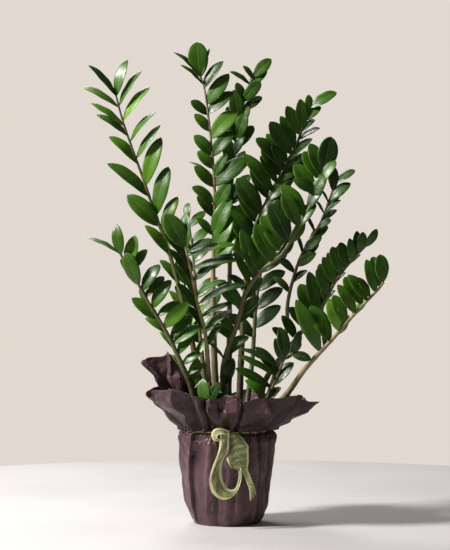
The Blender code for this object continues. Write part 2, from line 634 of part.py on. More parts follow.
def build_ribbon(parts, fabric):
    band_radius = NECK_RADIUS + RIBBON + GAP

    def band(column, row):
        turn = math.tau * column / WRAP_STEPS
        height = (NECK_LOW + NECK_HIGH) / 2 + BAND_HEIGHT * (row - 0.5)
        return band_radius * math.sin(turn), -band_radius * math.cos(turn), height

    surface_sheet("ribbon_band", WRAP_STEPS, 2, band, RIBBON, fabric, parts, around=True)

    front = -(band_radius + RIBBON)
    knot = bmesh.new()
    bmesh.ops.create_uvsphere(knot, u_segments=10, v_segments=6, radius=1.0)
    bmesh.ops.scale(knot, vec=(0.0075, 0.0040, 0.0048), verts=knot.verts)
    lump = mesh_object("ribbon_knot", knot, fabric, parts)
    lump.location = (-0.004, front - 0.0043, 0.1665)

    # short end rolled up on the left of the knot
    roll = [((-0.0205 - 0.0002 * n, front - 0.012 - 0.0070 * math.cos(turn),
              0.1660 + 0.0070 * math.sin(turn)), (1, 0, 0.1))
            for n, turn in enumerate(math.radians(d) for d in range(-60, 210, 30))]
    strip("ribbon_curl", roll, 0.013, RIBBON, fabric, parts)

    # two edges of one wide loop: the outer hangs low, the inner stays higher
    outer = smooth_route(((-0.002, front - 0.016, 0.160), (-0.006, front - 0.026, 0.134),
                          (-0.031, front - 0.028, 0.098), (-0.032, front - 0.028, 0.078),
                          (-0.018, front - 0.026, 0.053), (-0.004, front - 0.024, 0.050),
                          (0.012, front - 0.022, 0.058), (0.021, front - 0.019, 0.078),
                          (0.0215, front - 0.016, 0.094)), 16)
    inner = smooth_route(((-0.012, front - 0.013, 0.160), (-0.010, front - 0.014, 0.132),
                          (-0.007, front - 0.015, 0.106), (-0.004, front - 0.016, 0.082),
                          (0.001, front - 0.017, 0.070), (0.0105, front - 0.015, 0.065),
                          (0.016, front - 0.012, 0.073), (0.0185, front - 0.011, 0.085),
                          (0.0185, front - 0.010, 0.094)), 16)
    loop = surface_sheet("ribbon_loop", 2, 16, lambda c, r: (outer, inner)[c][r],
                         RIBBON, fabric, parts)
    loop.modifiers["thickness"].use_even_offset = True

    # wide fold that hangs flat on the right of the loop
    fold = [((0.0225 - 0.001 * n / 5, front - 0.0165 - 0.0004 * n, 0.160 - 0.0125 * n), (1, 0, 0.05))
            for n in range(6)]
    strip("ribbon_fold", fold, 0.030, RIBBON, fabric, parts)

    # free end, cut on a slant
    tail = ((0.0325, front - 0.0150, 0.0930), (0.0365, front - 0.0170, 0.0780),
            (0.0420, front - 0.0185, 0.0620), (0.0465, front - 0.0190, 0.0490))

    def tail_spot(column, row):
        point = Vector(tail[row])
        slant = 0.009 * (column - 0.5) if row == len(tail) - 1 else 0
        return point + Vector((0.011 * (column - 0.5), 0, slant))

    surface_sheet("ribbon_tail", 2, len(tail), tail_spot, RIBBON, fabric, parts)


def build_frond(key, route, leaflets, parts, cutters, green):
    """A stem with its leaflets, grown as one piece."""
    frond = FRONDS[key]
    line = bpy.data.curves.new(f"stem_{key}", "CURVE")
    line.dimensions = "3D"
    line.bevel_depth = 1.0
    line.bevel_resolution = 1
    line.use_fill_caps = True
    path = line.splines.new("POLY")
    path.points.add(len(route) - 1)
    for number, (point, spot) in enumerate(zip(path.points, route)):
        point.co = (*spot, 1)
        point.radius = stem_radius(frond["radii"], number / (len(route) - 1))
    tube = bpy.data.objects.new(f"stem_{key}", line)
    parts.objects.link(tube)
    bpy.context.view_layer.update()
    mesh = bpy.data.meshes.new_from_object(tube.evaluated_get(bpy.context.evaluated_depsgraph_get()))
    place = tube.matrix_world.copy()
    bpy.data.objects.remove(tube)
    form = bmesh.new()
    form.from_mesh(mesh)
    bmesh.ops.remove_doubles(form, verts=form.verts, dist=0.00002)
    bpy.data.meshes.remove(mesh)
    made = mesh_object(f"frond_{key}", form, green, parts)
    made.matrix_world = place
    blades = group(f"leaflets_{key}", cutters)
    for number, (spot, length, width) in enumerate(leaflets):
        blade = cutter(f"leaflet_{key}_{number}", leaflet_cage(length, width, LEAF_THICK), blades)
        blade.matrix_world = spot
    boolean(made, "UNION", blades)


def main():
    clear_scene()
    parts = group(NAME)
    cutters = group("cutters")
    green = material("leaf_green", (0.045, 0.130, 0.025), 0.30)
    paper = material("plum_paper", (0.110, 0.055, 0.058), 0.55)
    fabric = material("olive_organza", (0.400, 0.430, 0.160), 0.45)
    plastic = material("pot_plastic", (0.020, 0.020, 0.020), 0.50)
    earth = material("potting_soil", (0.035, 0.022, 0.014), 0.95)
    routes, settled = place_leaflets()
    build_wrap(parts, paper)
    build_pot(parts, cutters, plastic)
    build_soil(parts, cutters, earth, routes)
    build_ribbon(parts, fabric)
    for key in FRONDS:
        build_frond(key, routes[key], settled[key], parts, cutters, green)


main()
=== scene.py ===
"""Looks of a potted ZZ plant: glossy fronds in a nursery pot, in gathered plum paper with a ribbon."""
import json
import math

import bmesh
import bpy
import numpy as np
from mathutils import Matrix, Vector
from mathutils.bvhtree import BVHTree

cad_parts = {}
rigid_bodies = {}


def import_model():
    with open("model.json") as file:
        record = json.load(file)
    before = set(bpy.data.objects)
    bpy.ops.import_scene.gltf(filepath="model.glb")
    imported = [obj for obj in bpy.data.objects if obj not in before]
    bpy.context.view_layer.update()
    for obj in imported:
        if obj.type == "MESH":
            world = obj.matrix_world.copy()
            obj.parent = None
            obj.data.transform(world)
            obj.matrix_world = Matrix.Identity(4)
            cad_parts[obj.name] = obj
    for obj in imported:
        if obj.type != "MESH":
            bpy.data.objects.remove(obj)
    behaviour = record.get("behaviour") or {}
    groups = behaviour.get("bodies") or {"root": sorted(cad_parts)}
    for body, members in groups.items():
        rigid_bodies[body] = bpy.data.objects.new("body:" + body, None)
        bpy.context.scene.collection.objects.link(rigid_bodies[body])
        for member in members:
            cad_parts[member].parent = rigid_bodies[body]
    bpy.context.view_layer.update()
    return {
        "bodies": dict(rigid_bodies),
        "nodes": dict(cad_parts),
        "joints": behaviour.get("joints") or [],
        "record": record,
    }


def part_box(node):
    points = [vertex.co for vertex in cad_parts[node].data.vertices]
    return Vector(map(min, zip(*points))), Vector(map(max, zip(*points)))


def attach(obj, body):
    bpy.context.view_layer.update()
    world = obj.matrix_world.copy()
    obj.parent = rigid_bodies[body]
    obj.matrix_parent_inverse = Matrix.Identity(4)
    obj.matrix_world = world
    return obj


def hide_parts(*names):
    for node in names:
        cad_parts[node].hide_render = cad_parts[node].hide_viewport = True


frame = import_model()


# ---- nursery pot -------------------------------------------------------------------------------
# A thin black pot of moulded polypropylene, as growers use.  It stands inside the paper, and only
# its rim can be seen, from above.  The solid's own shape is right, so it only gets its surface.
class Wire:
    """A socket of a node tree, on which sums can be written."""

    def __init__(self, tree, socket):
        self.tree = tree
        self.socket = socket

    def apply(self, operation, *others):
        return add_node(self.tree, "ShaderNodeMath", {"operation": operation},
                        dict(enumerate((self, *others))))[0]

    def __add__(self, other):
        return self.apply("ADD", other)

    def __sub__(self, other):
        return self.apply("SUBTRACT", other)

    def __mul__(self, other):
        return self.apply("MULTIPLY", other)

    def __pow__(self, other):
        return self.apply("POWER", other)

    def __rsub__(self, other):
        return self * -1 + other

    __radd__ = __add__
    __rmul__ = __mul__


def add_node(tree, kind, settings=None, inputs=None):
    """Add a node: its settings first, then the values or wires of its sockets.  Gives its outputs."""
    node = tree.nodes.new(kind)
    for name, value in (settings or {}).items():
        setattr(node, name, value)
    for name, value in (inputs or {}).items():
        if isinstance(value, Wire):
            tree.links.new(value.socket, node.inputs[name])
        else:
            node.inputs[name].default_value = value
    return [Wire(tree, socket) for socket in node.outputs]


def new_surface(name, fixed=None):
    """A material with its own Principled shader; fixed holds what is the same all over."""
    surface = bpy.data.materials.new(name)
    surface.use_nodes = True
    shader = surface.node_tree.nodes["Principled BSDF"]
    for socket, value in (fixed or {}).items():
        shader.inputs[socket].default_value = value
    return surface, surface.node_tree, shader


def feed(shader, **wires):
    """Join wires to the shader's sockets; a socket's spaces are underscores here."""
    for name, wire in wires.items():
        wire.tree.links.new(wire.socket, shader.inputs[name.replace("_", " ")])


def parts_of(vector):
    """The three numbers of a vector."""
    return add_node(vector.tree, "ShaderNodeSeparateXYZ", None, {0: vector})


def object_place(tree):
    """Coordinates on the piece itself, in metres."""
    return add_node(tree, "ShaderNodeTexCoord")[3]


def painted(tree, name):
    """A number that the mesh carries from point to point."""
    return add_node(tree, "ShaderNodeAttribute", {"attribute_name": name})[2]


def noise(tree, scale, detail=3.0, roughness=0.5, where=None, stretch=None):
    """Grey noise round one half, on Object coordinates unless told otherwise."""
    if where is None:
        where = object_place(tree)
    if stretch:
        where = add_node(tree, "ShaderNodeMapping", None, {0: where, "Scale": stretch})[0]
    return add_node(tree, "ShaderNodeTexNoise", None, {
        "Vector": where, "Scale": scale, "Detail": detail, "Roughness": roughness})[0]


def mixed(share, first, second):
    """Blend two colours."""
    first, second = ((*c, 1) if isinstance(c, tuple) else c for c in (first, second))
    return add_node(share.tree, "ShaderNodeMix", {"data_type": "RGBA"}, {
        0: share, 6: first, 7: second})[2]


def between(wire, low, high, to_low=0.0, to_high=1.0):
    """Smoothly map a wire from one span to another."""
    return add_node(wire.tree, "ShaderNodeMapRange", {"interpolation_type": "SMOOTHSTEP"}, {
        0: wire, 1: low, 2: high, 3: to_low, 4: to_high})[0]


def bumped(height, distance, strength=1.0):
    """A surface normal tilted by a height in metres."""
    return add_node(height.tree, "ShaderNodeBump", None, {
        "Height": height, "Distance": distance, "Strength": strength})[0]


def linked(name, data):
    """A new object on a mesh, a lamp or a camera, put in the scene."""
    made = bpy.data.objects.new(name, data)
    bpy.context.scene.collection.objects.link(made)
    return made


def made_mesh(name, form):
    """A mesh from a finished bmesh, which is let go."""
    mesh = bpy.data.meshes.new(name)
    form.to_mesh(mesh)
    form.free()
    return mesh


def resurface(node, surface):
    """Give a CAD node's own object another material."""
    mesh = bpy.data.objects[node].data
    mesh.materials.clear()
    mesh.materials.append(surface)


pot_plastic, tree, shader = new_surface("pot_plastic")
grain = noise(tree, 900, 2)
dust = noise(tree, 60, 4)
feed(shader,
     Base_Color=mixed(between(dust, 0.45, 0.75), (0.012, 0.012, 0.013), (0.050, 0.042, 0.034)),
     Roughness=between(dust, 0.3, 0.7, 0.38, 0.62),
     Normal=bumped(grain, 0.0002, 0.5))
resurface("nursery_pot", pot_plastic)


# ---- potting soil ------------------------------------------------------------------------------
# A dark peat mix that fills the pot to a finger's width under its rim, loose on top: crumbs of
# peat and bark, with a few pale grains of perlite.  The bed is the solid; the crumbs lie on it.
PEAT = (0.022, 0.013, 0.008)
BARK = (0.075, 0.040, 0.020)
PERLITE = (0.62, 0.60, 0.55)
CRUMB_REACH = 0.0735
CRUMBS_PER_M2 = 210000
CRUMB_LARGEST = 0.0030
CRUMB_SINK = 0.0022  # how far the crumbs' sheet lies under the top of the bed

soil_bed, tree, shader = new_surface("soil_bed", {"Roughness": 0.95})
clods = noise(tree, 260, 5, 0.7)
feed(shader,
     Base_Color=mixed(between(clods, 0.35, 0.7), PEAT, BARK),
     Normal=bumped(clods, 0.003))
resurface("potting_soil", soil_bed)

soil_crumb, tree, shader = new_surface("soil_crumb", {"Roughness": 0.92})
kind = painted(tree, "crumb_kind")
stain = noise(tree, 700, 3)
dark = mixed(stain, PEAT, BARK)
feed(shader,
     Base_Color=mixed(between(kind, 0.955, 0.965), dark, PERLITE),
     Normal=bumped(stain, 0.0006))


def named_tree(name, *sockets):
    """A Geometry Nodes group with one geometry in and out, and named inputs after it."""
    group = bpy.data.node_groups.new(name, "GeometryNodeTree")
    group.interface.new_socket("Geometry", in_out="INPUT", socket_type="NodeSocketGeometry")
    group.interface.new_socket("Geometry", in_out="OUTPUT", socket_type="NodeSocketGeometry")
    for socket, kind in sockets:
        group.interface.new_socket(socket, in_out="INPUT", socket_type=kind)
    source = add_node(group, "NodeGroupInput")
    return group, {wire.socket.name: wire for wire in source if wire.socket.name}


def grown(name, mesh, group, values):
    """Run a Geometry Nodes group on a mesh, and give the result as a plain object."""
    seed = linked(name, mesh)
    growth = seed.modifiers.new("grow", "NODES")
    growth.node_group = group
    for item in group.interface.items_tree:
        if item.item_type == "SOCKET" and item.in_out == "INPUT" and item.name in values:
            growth[item.identifier] = values[item.name]
    bpy.context.view_layer.update()
    seen = seed.evaluated_get(bpy.context.evaluated_depsgraph_get())
    result = bpy.data.meshes.new_from_object(seen)
    seed.modifiers.remove(growth)
    seed.data = result
    result.name = name
    return seed


def step(group, kind, inputs=None, settings=None):
    """One step of a Geometry Nodes group; gives the first thing that comes out of it."""
    return add_node(group, "GeometryNode" + kind, settings, inputs)[0]


def named_value(group, name, kind="FLOAT"):
    return step(group, "InputNamedAttribute", {0: name}, {"data_type": kind})


def stored(group, geometry, name, value):
    """Keep a number on each point, for the surface to read."""
    return step(group, "StoreNamedAttribute", {0: geometry, 2: name, 3: value},
                {"data_type": "FLOAT", "domain": "POINT"})


def random_value(group, low, high, seed, kind="FLOAT"):
    """A random value for each point or instance."""
    made = add_node(group, "FunctionNodeRandomValue", {"data_type": kind})
    node = made[0].socket.node
    for socket in node.inputs:
        if socket.enabled and socket.name in ("Min", "Max"):
            socket.default_value = low if socket.name == "Min" else high
        if socket.enabled and socket.name == "Seed":
            socket.default_value = seed
    return next(wire for wire in made if wire.socket.enabled)


group, ports = named_tree("soil_crumbs", ("Crumbs per square metre", "NodeSocketFloat"),
                          ("Largest crumb", "NodeSocketFloat"), ("Surface", "NodeSocketMaterial"))
points = step(group, "DistributePointsOnFaces", {
    "Mesh": ports["Geometry"], "Density": ports["Crumbs per square metre"], "Seed": 5})
points = stored(group, points, "crumb_kind", random_value(group, 0.0, 1.0, 3))
crumb = step(group, "MeshIcoSphere", {"Radius": ports["Largest crumb"], "Subdivisions": 1})
turned = random_value(group, (0, 0, 0), (6.28, 6.28, 6.28), 8, "FLOAT_VECTOR")
stretched = random_value(group, (0.25, 0.25, 0.18), (1.0, 0.8, 0.6), 9, "FLOAT_VECTOR")
placed = step(group, "InstanceOnPoints", {
    "Points": points, "Instance": crumb, "Rotation": turned, "Scale": stretched})
solid = step(group, "RealizeInstances", {0: placed})
add_node(group, "NodeGroupOutput", None, {0: step(group, "SetMaterial", {
    "Geometry": solid, "Material": ports["Surface"]})})

_, soil_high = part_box("potting_soil")
bed = bmesh.new()
bmesh.ops.create_circle(bed, cap_ends=True, cap_tris=True, segments=48, radius=CRUMB_REACH)
bmesh.ops.translate(bed, verts=bed.verts, vec=(0, 0, soil_high[2] - CRUMB_SINK))
crumbs = grown("soil_crumbs", made_mesh("soil_crumbs", bed), group, {
    "Crumbs per square metre": CRUMBS_PER_M2, "Largest crumb": CRUMB_LARGEST, "Surface": soil_crumb})
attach(crumbs, "root")


# ---- paper wrap --------------------------------------------------------------------------------
# One sheet of waxy plum paper.  It is folded flat under the pot, brought up its side in knife
# pleats, gathered into the tie over the rim, and its crumpled corners flare out above as a collar.
# radius and height of the outside, from the middle of the foot to the shoulder under the tie
BODY = (
    (0.0000, 0.0000), (0.0300, 0.0000), (0.0560, 0.0000), (0.0586, 0.0010), (0.0602, 0.0026),
    (0.0645, 0.0110), (0.0725, 0.0300), (0.0790, 0.0600), (0.0845, 0.1000), (0.0875, 0.1300),
    (0.0890, 0.1480), (0.0886, 0.1560), (0.0872, 0.1612), (0.0838, 0.1645), (0.0802, 0.1640),
    (0.0775, 0.1615),
)
NECK_RADIUS = 0.0745
NECK_LOW = 0.1612
NECK_HIGH = 0.1690
# the collar's edge: degrees round from the front towards +X, reach from the middle, height
RIM = (
    (-162, 0.132, 0.236), (-150, 0.140, 0.262), (-138, 0.146, 0.298), (-126, 0.150, 0.304),
    (-114, 0.152, 0.286), (-104, 0.142, 0.262), (-94, 0.130, 0.246), (-78, 0.143, 0.226),
    (-66, 0.138, 0.236), (-48, 0.134, 0.244), (-24, 0.124, 0.233), (-15, 0.110, 0.220), (-9, 0.120, 0.235),
    (3, 0.121, 0.236), (9, 0.106, 0.221), (15, 0.120, 0.226), (36, 0.140, 0.232), (57, 0.156, 0.237),
    (78, 0.166, 0.217), (96, 0.142, 0.204), (120, 0.146, 0.226), (144, 0.128, 0.214), (168, 0.140, 0.230),
    (186, 0.126, 0.216),
)
COLUMNS = 360
COLLAR_ROWS = 46
COLLAR_CURVE = 0.80  # below one, the collar leaves the tie flat and turns up
COLLAR_PLEATS = 0.0030  # depth of the crowded pleats where it leaves the tie
OVERHANG = 0.0060  # how far its first turn hangs over the tie
# folds of the body: degrees at the shoulder, degrees at the foot, share of the full depth
BODY_FOLDS = (
    (-172, -172, 0.0), (-168, -168, 0.8), (-150, -152, 0.0), (-146, -148, 0.7), (-128, -134, 0.1),
    (-124, -130, 0.9), (-104, -112, 0.0), (-100, -108, 0.7), (-80, -92, 0.1), (-76, -88, 0.5),
    (-63, -77, 0.35), (-48, -64, 0.0), (-46, -62, 1.0), (-43, -59, 0.85), (-20, -33, 0.0), (-8, -16, 0.85),
    (-4, -11, 0.3), (4, -3, 0.0), (14, 8, 0.6), (17, 12, 0.1), (28, 26, 0.55), (37, 48, 0.0),
    (39, 51, 1.0), (42, 54, 0.75), (53, 65, 0.0), (57, 69, 0.95), (73, 80, 0.1), (76, 83, 0.8),
    (88, 93, 0.3), (100, 100, 0.1), (104, 103, 0.8), (126, 122, 0.0), (131, 127, 0.9), (156, 152, 0.1),
    (160, 156, 0.8), (180, 180, 0.1),
)
# height and least radius that keep the paper off the pot and its rim
POT_SIDE = ((0.000, 0.0555), (0.130, 0.0785), (0.134, 0.0828), (0.151, 0.0828), (0.156, 0.0760),
            (0.175, 0.0700))
FOLD_DEEP = 0.0092  # at the shoulder
FOLD_SHALLOW = 0.0042  # at the foot
# folds of the collar: degrees, and how far out; a third and two thirds of the way up, and its edge
LOW_FOLDS = (
    (-170, 4), (-158, -4), (-146, 5), (-134, -3), (-120, 4), (-108, -4), (-96, 5), (-84, -4), (-72, 4),
    (-60, -6), (-43, 10), (-34, -2), (-24, 5), (-16, -9), (-10, 9), (-2, 4), (4, 8), (9, -9), (15, 3),
    (23, 11), (31, -3), (42, 5), (52, -6), (62, 7), (74, -4), (86, 6), (98, -4), (112, 5), (124, -4),
    (138, 5), (152, -4), (166, 4),
)
MID_FOLDS = (
    (-165, -8), (-150, 9), (-136, -8), (-120, 12), (-106, -10), (-92, 13), (-78, -6), (-66, -2), (-51, 18),
    (-36, -6), (-26, 3), (-17, -17), (-11, 15), (-6, 4), (-1, 19), (4, 13), (9, -17), (16, -2), (28, 18),
    (40, -7), (52, 4), (60, -5), (72, 11), (84, -6), (96, 9), (112, -9), (128, 9), (146, -9), (164, 8),
)
EDGE_FOLDS = (
    (-162, 1), (-146, 5), (-130, -6), (-112, 8), (-100, -8), (-86, 7), (-74, -4), (-60, 6), (-40, -2),
    (-26, 4), (-17, -8), (-10, 8), (-2, -5), (5, 6), (10, -10), (15, 4), (30, -5), (50, 4), (64, -4),
    (72, 4), (86, -5), (100, 6), (118, -5), (140, 6), (160, -5), (180, 5),
)
# sideways lean of the collar's folds, in degrees, where one flap laps over the next
LAPS = (
    (-170, 0), (-132, 3), (-124, -4), (-108, 0), (-92, 3), (-84, -4), (-70, 0), (-58, -3), (-50, 5),
    (-42, 0), (-26, 2), (-18, 4), (-12, -6), (-6, -1), (0, 1), (5, 7), (9.5, -5), (14, -2), (22, 2),
    (29, 6), (36, -4), (46, 0), (58, 3), (66, -3), (80, 0), (94, 4), (102, -3), (124, 3), (134, -3),
    (150, 0),
)
PAPER_THICK = 0.0005
# facets that crushing leaves: their size and first crease, and how deep each size is, in metres
FACETS = ((0.070, 0), (0.026, 5), (0.008, 9))
BODY_CRUSH = (0.0019, 0.0009, 0.0002)
COLLAR_CRUSH = (0.0090, 0.0015, 0.0003)
SHOULDER = 0.156  # height of the crowded creases under the tie


def round_the_clock(rows, column, degrees):
    """Straight-line reading of a column of (degrees, ...) rows that closes on itself."""
    around = [row[0] for row in rows] + [rows[0][0] + 360]
    values = [row[column] for row in rows] + [rows[0][column]]
    return np.interp((degrees - around[0]) % 360 + around[0], around, values)


def collar_edge(degrees):
    """Reach and height of the collar's edge, in one direction or in many."""
    return round_the_clock(RIM, 1, degrees), round_the_clock(RIM, 2, degrees)


def collar_radius(degrees, share):
    """Radius of the collar, a share of the way up from the tie to its edge."""
    return NECK_RADIUS + (collar_edge(degrees)[0] - NECK_RADIUS) * share ** 0.85


def zigzag(x):
    """A wave of straight lines between -1 and 1."""
    return 2 * np.abs(2 * (x - np.floor(x + 0.5))) - 1


CREASES = np.random.default_rng(11).normal(size=(14, 3))
CREASES /= np.linalg.norm(CREASES, axis=1)[:, None]


def crumple(points, size, first, count):
    """Facets with sharp creases, as paper keeps them once it has been crushed."""
    total = np.zeros(len(points))
    for number in range(first, first + count):
        wave = points @ CREASES[number] / (size * (0.8 + 0.15 * (number % 4))) + 0.37 * number
        bend = 0.25 * zigzag(points @ CREASES[(number + 5) % 14] / (size * 2.3) + 0.2 * number)
        total += zigzag(wave + bend)
    return total / math.sqrt(count)


def thicken(sheet, thick):
    """Give a sheet its thickness, half to each side."""
    skin = sheet.modifiers.new("thickness", "SOLIDIFY")
    skin.thickness = thick
    skin.offset = 0


def quilted(form, layer, grid, rows, columns, around, over):
    """Faces between the rows of a grid, with their place along and across in a UV layer."""
    for r in range(rows):
        for c in range(columns):
            low, high = grid[r], grid[(r + 1) % len(grid)]
            d = (c + 1) % len(low)
            face = form.faces.new((low[c], low[d], high[d], high[c]))
            face.smooth = True
            for loop, (a, b) in zip(face.loops, ((c, r), (c + 1, r), (c + 1, r + 1), (c, r + 1))):
                loop[layer].uv = (a / around, b / over)


def body_ring(degrees, share):
    """Radius and height round the body, a share of the way along its profile, and how far each point
    stands out of the pleats, for the painted shade in them and the painted highlight between.
    """
    place = share * (len(BODY) - 1)
    radius = np.interp(place, range(len(BODY)), [row[0] for row in BODY])
    height = np.interp(place, range(len(BODY)), [row[1] for row in BODY])
    up = min(1.0, height / 0.150)
    folds = [(foot + (top - foot) * up, deep) for top, foot, deep in BODY_FOLDS]
    depth = (FOLD_SHALLOW + (FOLD_DEEP - FOLD_SHALLOW) * up) * min(1.0, height / 0.012)
    hollow = round_the_clock(folds, 1, degrees)
    return radius - depth * hollow, np.full(len(degrees), height), 1 - hollow


def clear_of_pot(points):
    """Keep the paper's side outside the pot and its rim."""
    reach = np.hypot(points[..., 0], points[..., 1])
    least = np.interp(points[..., 2], [row[0] for row in POT_SIDE], [row[1] for row in POT_SIDE])
    grow = np.maximum(1, least / np.maximum(reach, 0.001))
    points[..., :2] *= np.where(points[..., 2] > 0.006, grow, 1)[..., None]


def collar_ring(degrees, share):
    """Radius and height round the collar, a share of the way from the tie to its edge, and how far its
    folds stand out, for their painted shade and painted highlight.
    """
    edge_reach, edge_height = collar_edge(degrees)
    radius = NECK_RADIUS + (edge_reach - NECK_RADIUS) * share ** COLLAR_CURVE
    height = NECK_HIGH + (edge_height - NECK_HIGH) * share
    out = 0
    for table, low, middle, high in ((LOW_FOLDS, 0, 0.3, 0.65), (MID_FOLDS, 0.3, 0.65, 1.0),
                                     (EDGE_FOLDS, 0.65, 1.0, 2.0)):
        weight = np.interp(share, (low, middle, high), (0, 1, 0))
        out = out + 0.001 * weight * round_the_clock(table, 1, degrees)
    crowd = zigzag(degrees / 13.0 + 0.3 * np.sin(degrees / 17))
    out = out + COLLAR_PLEATS * crowd * min(1.0, share * 6) * (1 - share) + 0.0012 * crowd
    # the first turn of the paper hangs over the tie
    over = math.exp(-((share - 0.06) / 0.045) ** 2) * (0.75 + 0.25 * crowd)
    ragged = 0.0012 * zigzag(degrees / 11.0) * zigzag(degrees / 27.0 + 0.2)
    ragged = ragged * max(0, share - 0.8) / 0.2
    # how far the folds stand out sets the painted shade in their hollows and the painted highlight on
    # their crests; it is kept low near the tie, as painted shade there
    crest_light = np.clip(0.42 + out / 0.028, 0, 1) * min(1.0, 0.25 + share * 3)
    return radius + out + OVERHANG * over, height - 0.30 * out - 0.0034 * over + ragged, crest_light


degrees = np.arange(COLUMNS) * 360 / COLUMNS - 180
rings = [body_ring(degrees, share) for share in np.unique(np.concatenate([
    np.linspace(0, 2 / 15, 7), np.linspace(2 / 15, 5 / 15, 12), np.linspace(5 / 15, 1, 62)]))]
gathers = 0.0012 * zigzag(degrees / 9.0 + 0.3 * np.sin(degrees / 17))
# the tied neck gets a low value, which paints it dark: painted shade in the recess under the collar
for share in (0.0, 0.5, 1.0):
    rings.append((NECK_RADIUS + gathers, np.full(COLUMNS, NECK_LOW + (NECK_HIGH - NECK_LOW) * share),
                  np.full(COLUMNS, 0.1)))
rings += [collar_ring(degrees, share) for share in np.linspace(0, 1, COLLAR_ROWS + 1)[1:]]
tie_rows = 3
body_rows = len(rings) - COLLAR_ROWS - tie_rows
turn = np.radians(degrees)
laps = np.radians(round_the_clock(LAPS, 1, degrees))
lean = np.clip((np.arange(len(rings)) - body_rows - tie_rows) / COLLAR_ROWS / 0.35, 0, 1)
cloud = np.array([np.stack([radius * np.sin(turn + laps * share),
                            -radius * np.cos(turn + laps * share), height], axis=1)
                  for (radius, height, _), share in zip(rings, lean)])
crest_lights = np.array([crest_light for _, _, crest_light in rings])
flat_cloud = cloud.reshape(-1, 3)
outward = np.stack([np.sin(turn), -np.cos(turn), np.zeros(COLUMNS)], axis=1)
big, small, fine = (crumple(flat_cloud, size, first, 5).reshape(len(rings), COLUMNS)
                    for size, first in FACETS)
tied = np.clip(np.abs(cloud[:, 0, 2] - (NECK_LOW + NECK_HIGH) / 2) / 0.020 - 0.25, 0, 1)[:, None]
on_body = (np.arange(len(rings)) < body_rows)[:, None]
calm = np.clip(cloud[:, :, 2] / 0.012, 0, 1)
push = np.where(on_body, *(deep[0] * big + deep[1] * small + deep[2] * fine
                           for deep in (BODY_CRUSH, COLLAR_CRUSH)))
near_tie = np.exp(-((cloud[:, :, 2] - SHOULDER) / 0.011) ** 2) * on_body
near_tie = near_tie * (0.0018 * small + 0.0004 * fine)
# the crushed facets shift the painted shade and painted highlight from facet to facet
crest_lights = np.clip(crest_lights + 0.16 * big + 0.10 * small, 0, 1)
push = push * tied * calm + near_tie * calm
cloud += outward[None] * push[:, :, None]
cloud[:, :, 2] += np.where(on_body, 0.6 * near_tie, 0.45 * push)
clear_of_pot(cloud)
cloud[:, :, 2] = np.where(on_body, np.maximum(cloud[:, :, 2], PAPER_THICK / 2), cloud[:, :, 2])

paper = bmesh.new()
# each point carries how far it stands out, for the paper's painted shade and painted highlight
crest_light_layer = paper.verts.layers.float.new("crest_light")
grid = [[paper.verts.new(spot) for spot in ring] for ring in cloud]
for row, ring in zip(grid, crest_lights):
    for corner, crest_light in zip(row, ring):
        corner[crest_light_layer] = crest_light
reach = paper.loops.layers.uv.new("reach")
quilted(paper, reach, grid, len(grid) - 1, COLUMNS, COLUMNS, len(rings))
bmesh.ops.remove_doubles(paper, verts=[v for ring in grid[:1] for v in ring], dist=0.0001)
paper.normal_update()
paper_mesh = made_mesh("wrap_sheet", paper)
paper_mesh.set_sharp_from_angle(angle=math.radians(9))
wrap = linked("wrap_sheet", paper_mesh)
thicken(wrap, PAPER_THICK)

# the paper's own plum, a darker plum that is painted shade, and a paler plum that is painted highlight
PLUM = (0.080, 0.036, 0.042)
PLUM_PAINTED_SHADE = (0.020, 0.008, 0.011)
PLUM_PAINTED_HIGHLIGHT = (0.240, 0.150, 0.168)
plum_paper, tree, shader = new_surface("plum_paper", {"Specular IOR Level": 0.32})
cloudy = noise(tree, 26, 4, 0.6)
fibre = noise(tree, 900, 3, 0.6)
facets = (noise(tree, 11, 1) - 0.5).apply("ABSOLUTE")
wide_creases = (noise(tree, 26, 1) - 0.5).apply("ABSOLUTE")
small_creases = (noise(tree, 75, 1) - 0.5).apply("ABSOLUTE")
creases = facets * 1.7 + wide_creases * 0.8 + small_creases * 0.3
# paler lines along the creases: painted highlight
crease_highlight = between(creases, 0.02, 0.09, 0.40, 0.0)
crest_light = painted(tree, "crest_light")
height = parts_of(object_place(tree))[2]
# the collar's outside, where it faces down, is painted darker: painted shade
tilt = parts_of(add_node(tree, "ShaderNodeNewGeometry")[1])[2]
underside_shade = between(height, 0.150, 0.165) * between(tilt, -0.15, -0.45)
# painted shade in the hollows of the folds and a painted highlight on their crests, with a little random
# cloudiness and fibre
crest_shaded_ground = mixed(between(crest_light + (cloudy - 0.5) * 0.3, 0.05, 0.75), PLUM_PAINTED_SHADE, PLUM)
crest_shaded_ground = mixed(between(crest_light, 0.80, 1.0) * 0.26 + fibre * 0.08, crest_shaded_ground, PLUM_PAINTED_HIGHLIGHT)
# the highest parts of the flaps are painted paler: painted highlight
flap_top_highlight = between(height, 0.238, 0.268)
shaded_paper_tone = mixed(underside_shade * 0.70, mixed(crease_highlight, crest_shaded_ground, PLUM_PAINTED_HIGHLIGHT), PLUM_PAINTED_SHADE)
feed(shader,
     Base_Color=mixed(flap_top_highlight * 0.34, shaded_paper_tone, PLUM_PAINTED_HIGHLIGHT),
     Roughness=between(cloudy, 0.3, 0.7, 0.34, 0.46),
     Normal=bumped(creases + fibre * 0.01, 0.0085, 0.75))
paper_mesh.materials.append(plum_paper)
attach(wrap, "root")
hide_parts("paper_wrap")


# ---- ribbon ------------------------------------------------------------------------------------
# Sheer olive organza with satin edges.  It goes once round the gathered neck, is knotted in front,
# and its ends hang: a rolled short end, a wide loop, a fold beside it and an end cut on a slant.
RIBBON_THICK = 0.0003
SHEER = (0.420, 0.455, 0.175)
SHEER_DARK = (0.240, 0.275, 0.090)
SATIN = (0.760, 0.765, 0.420)


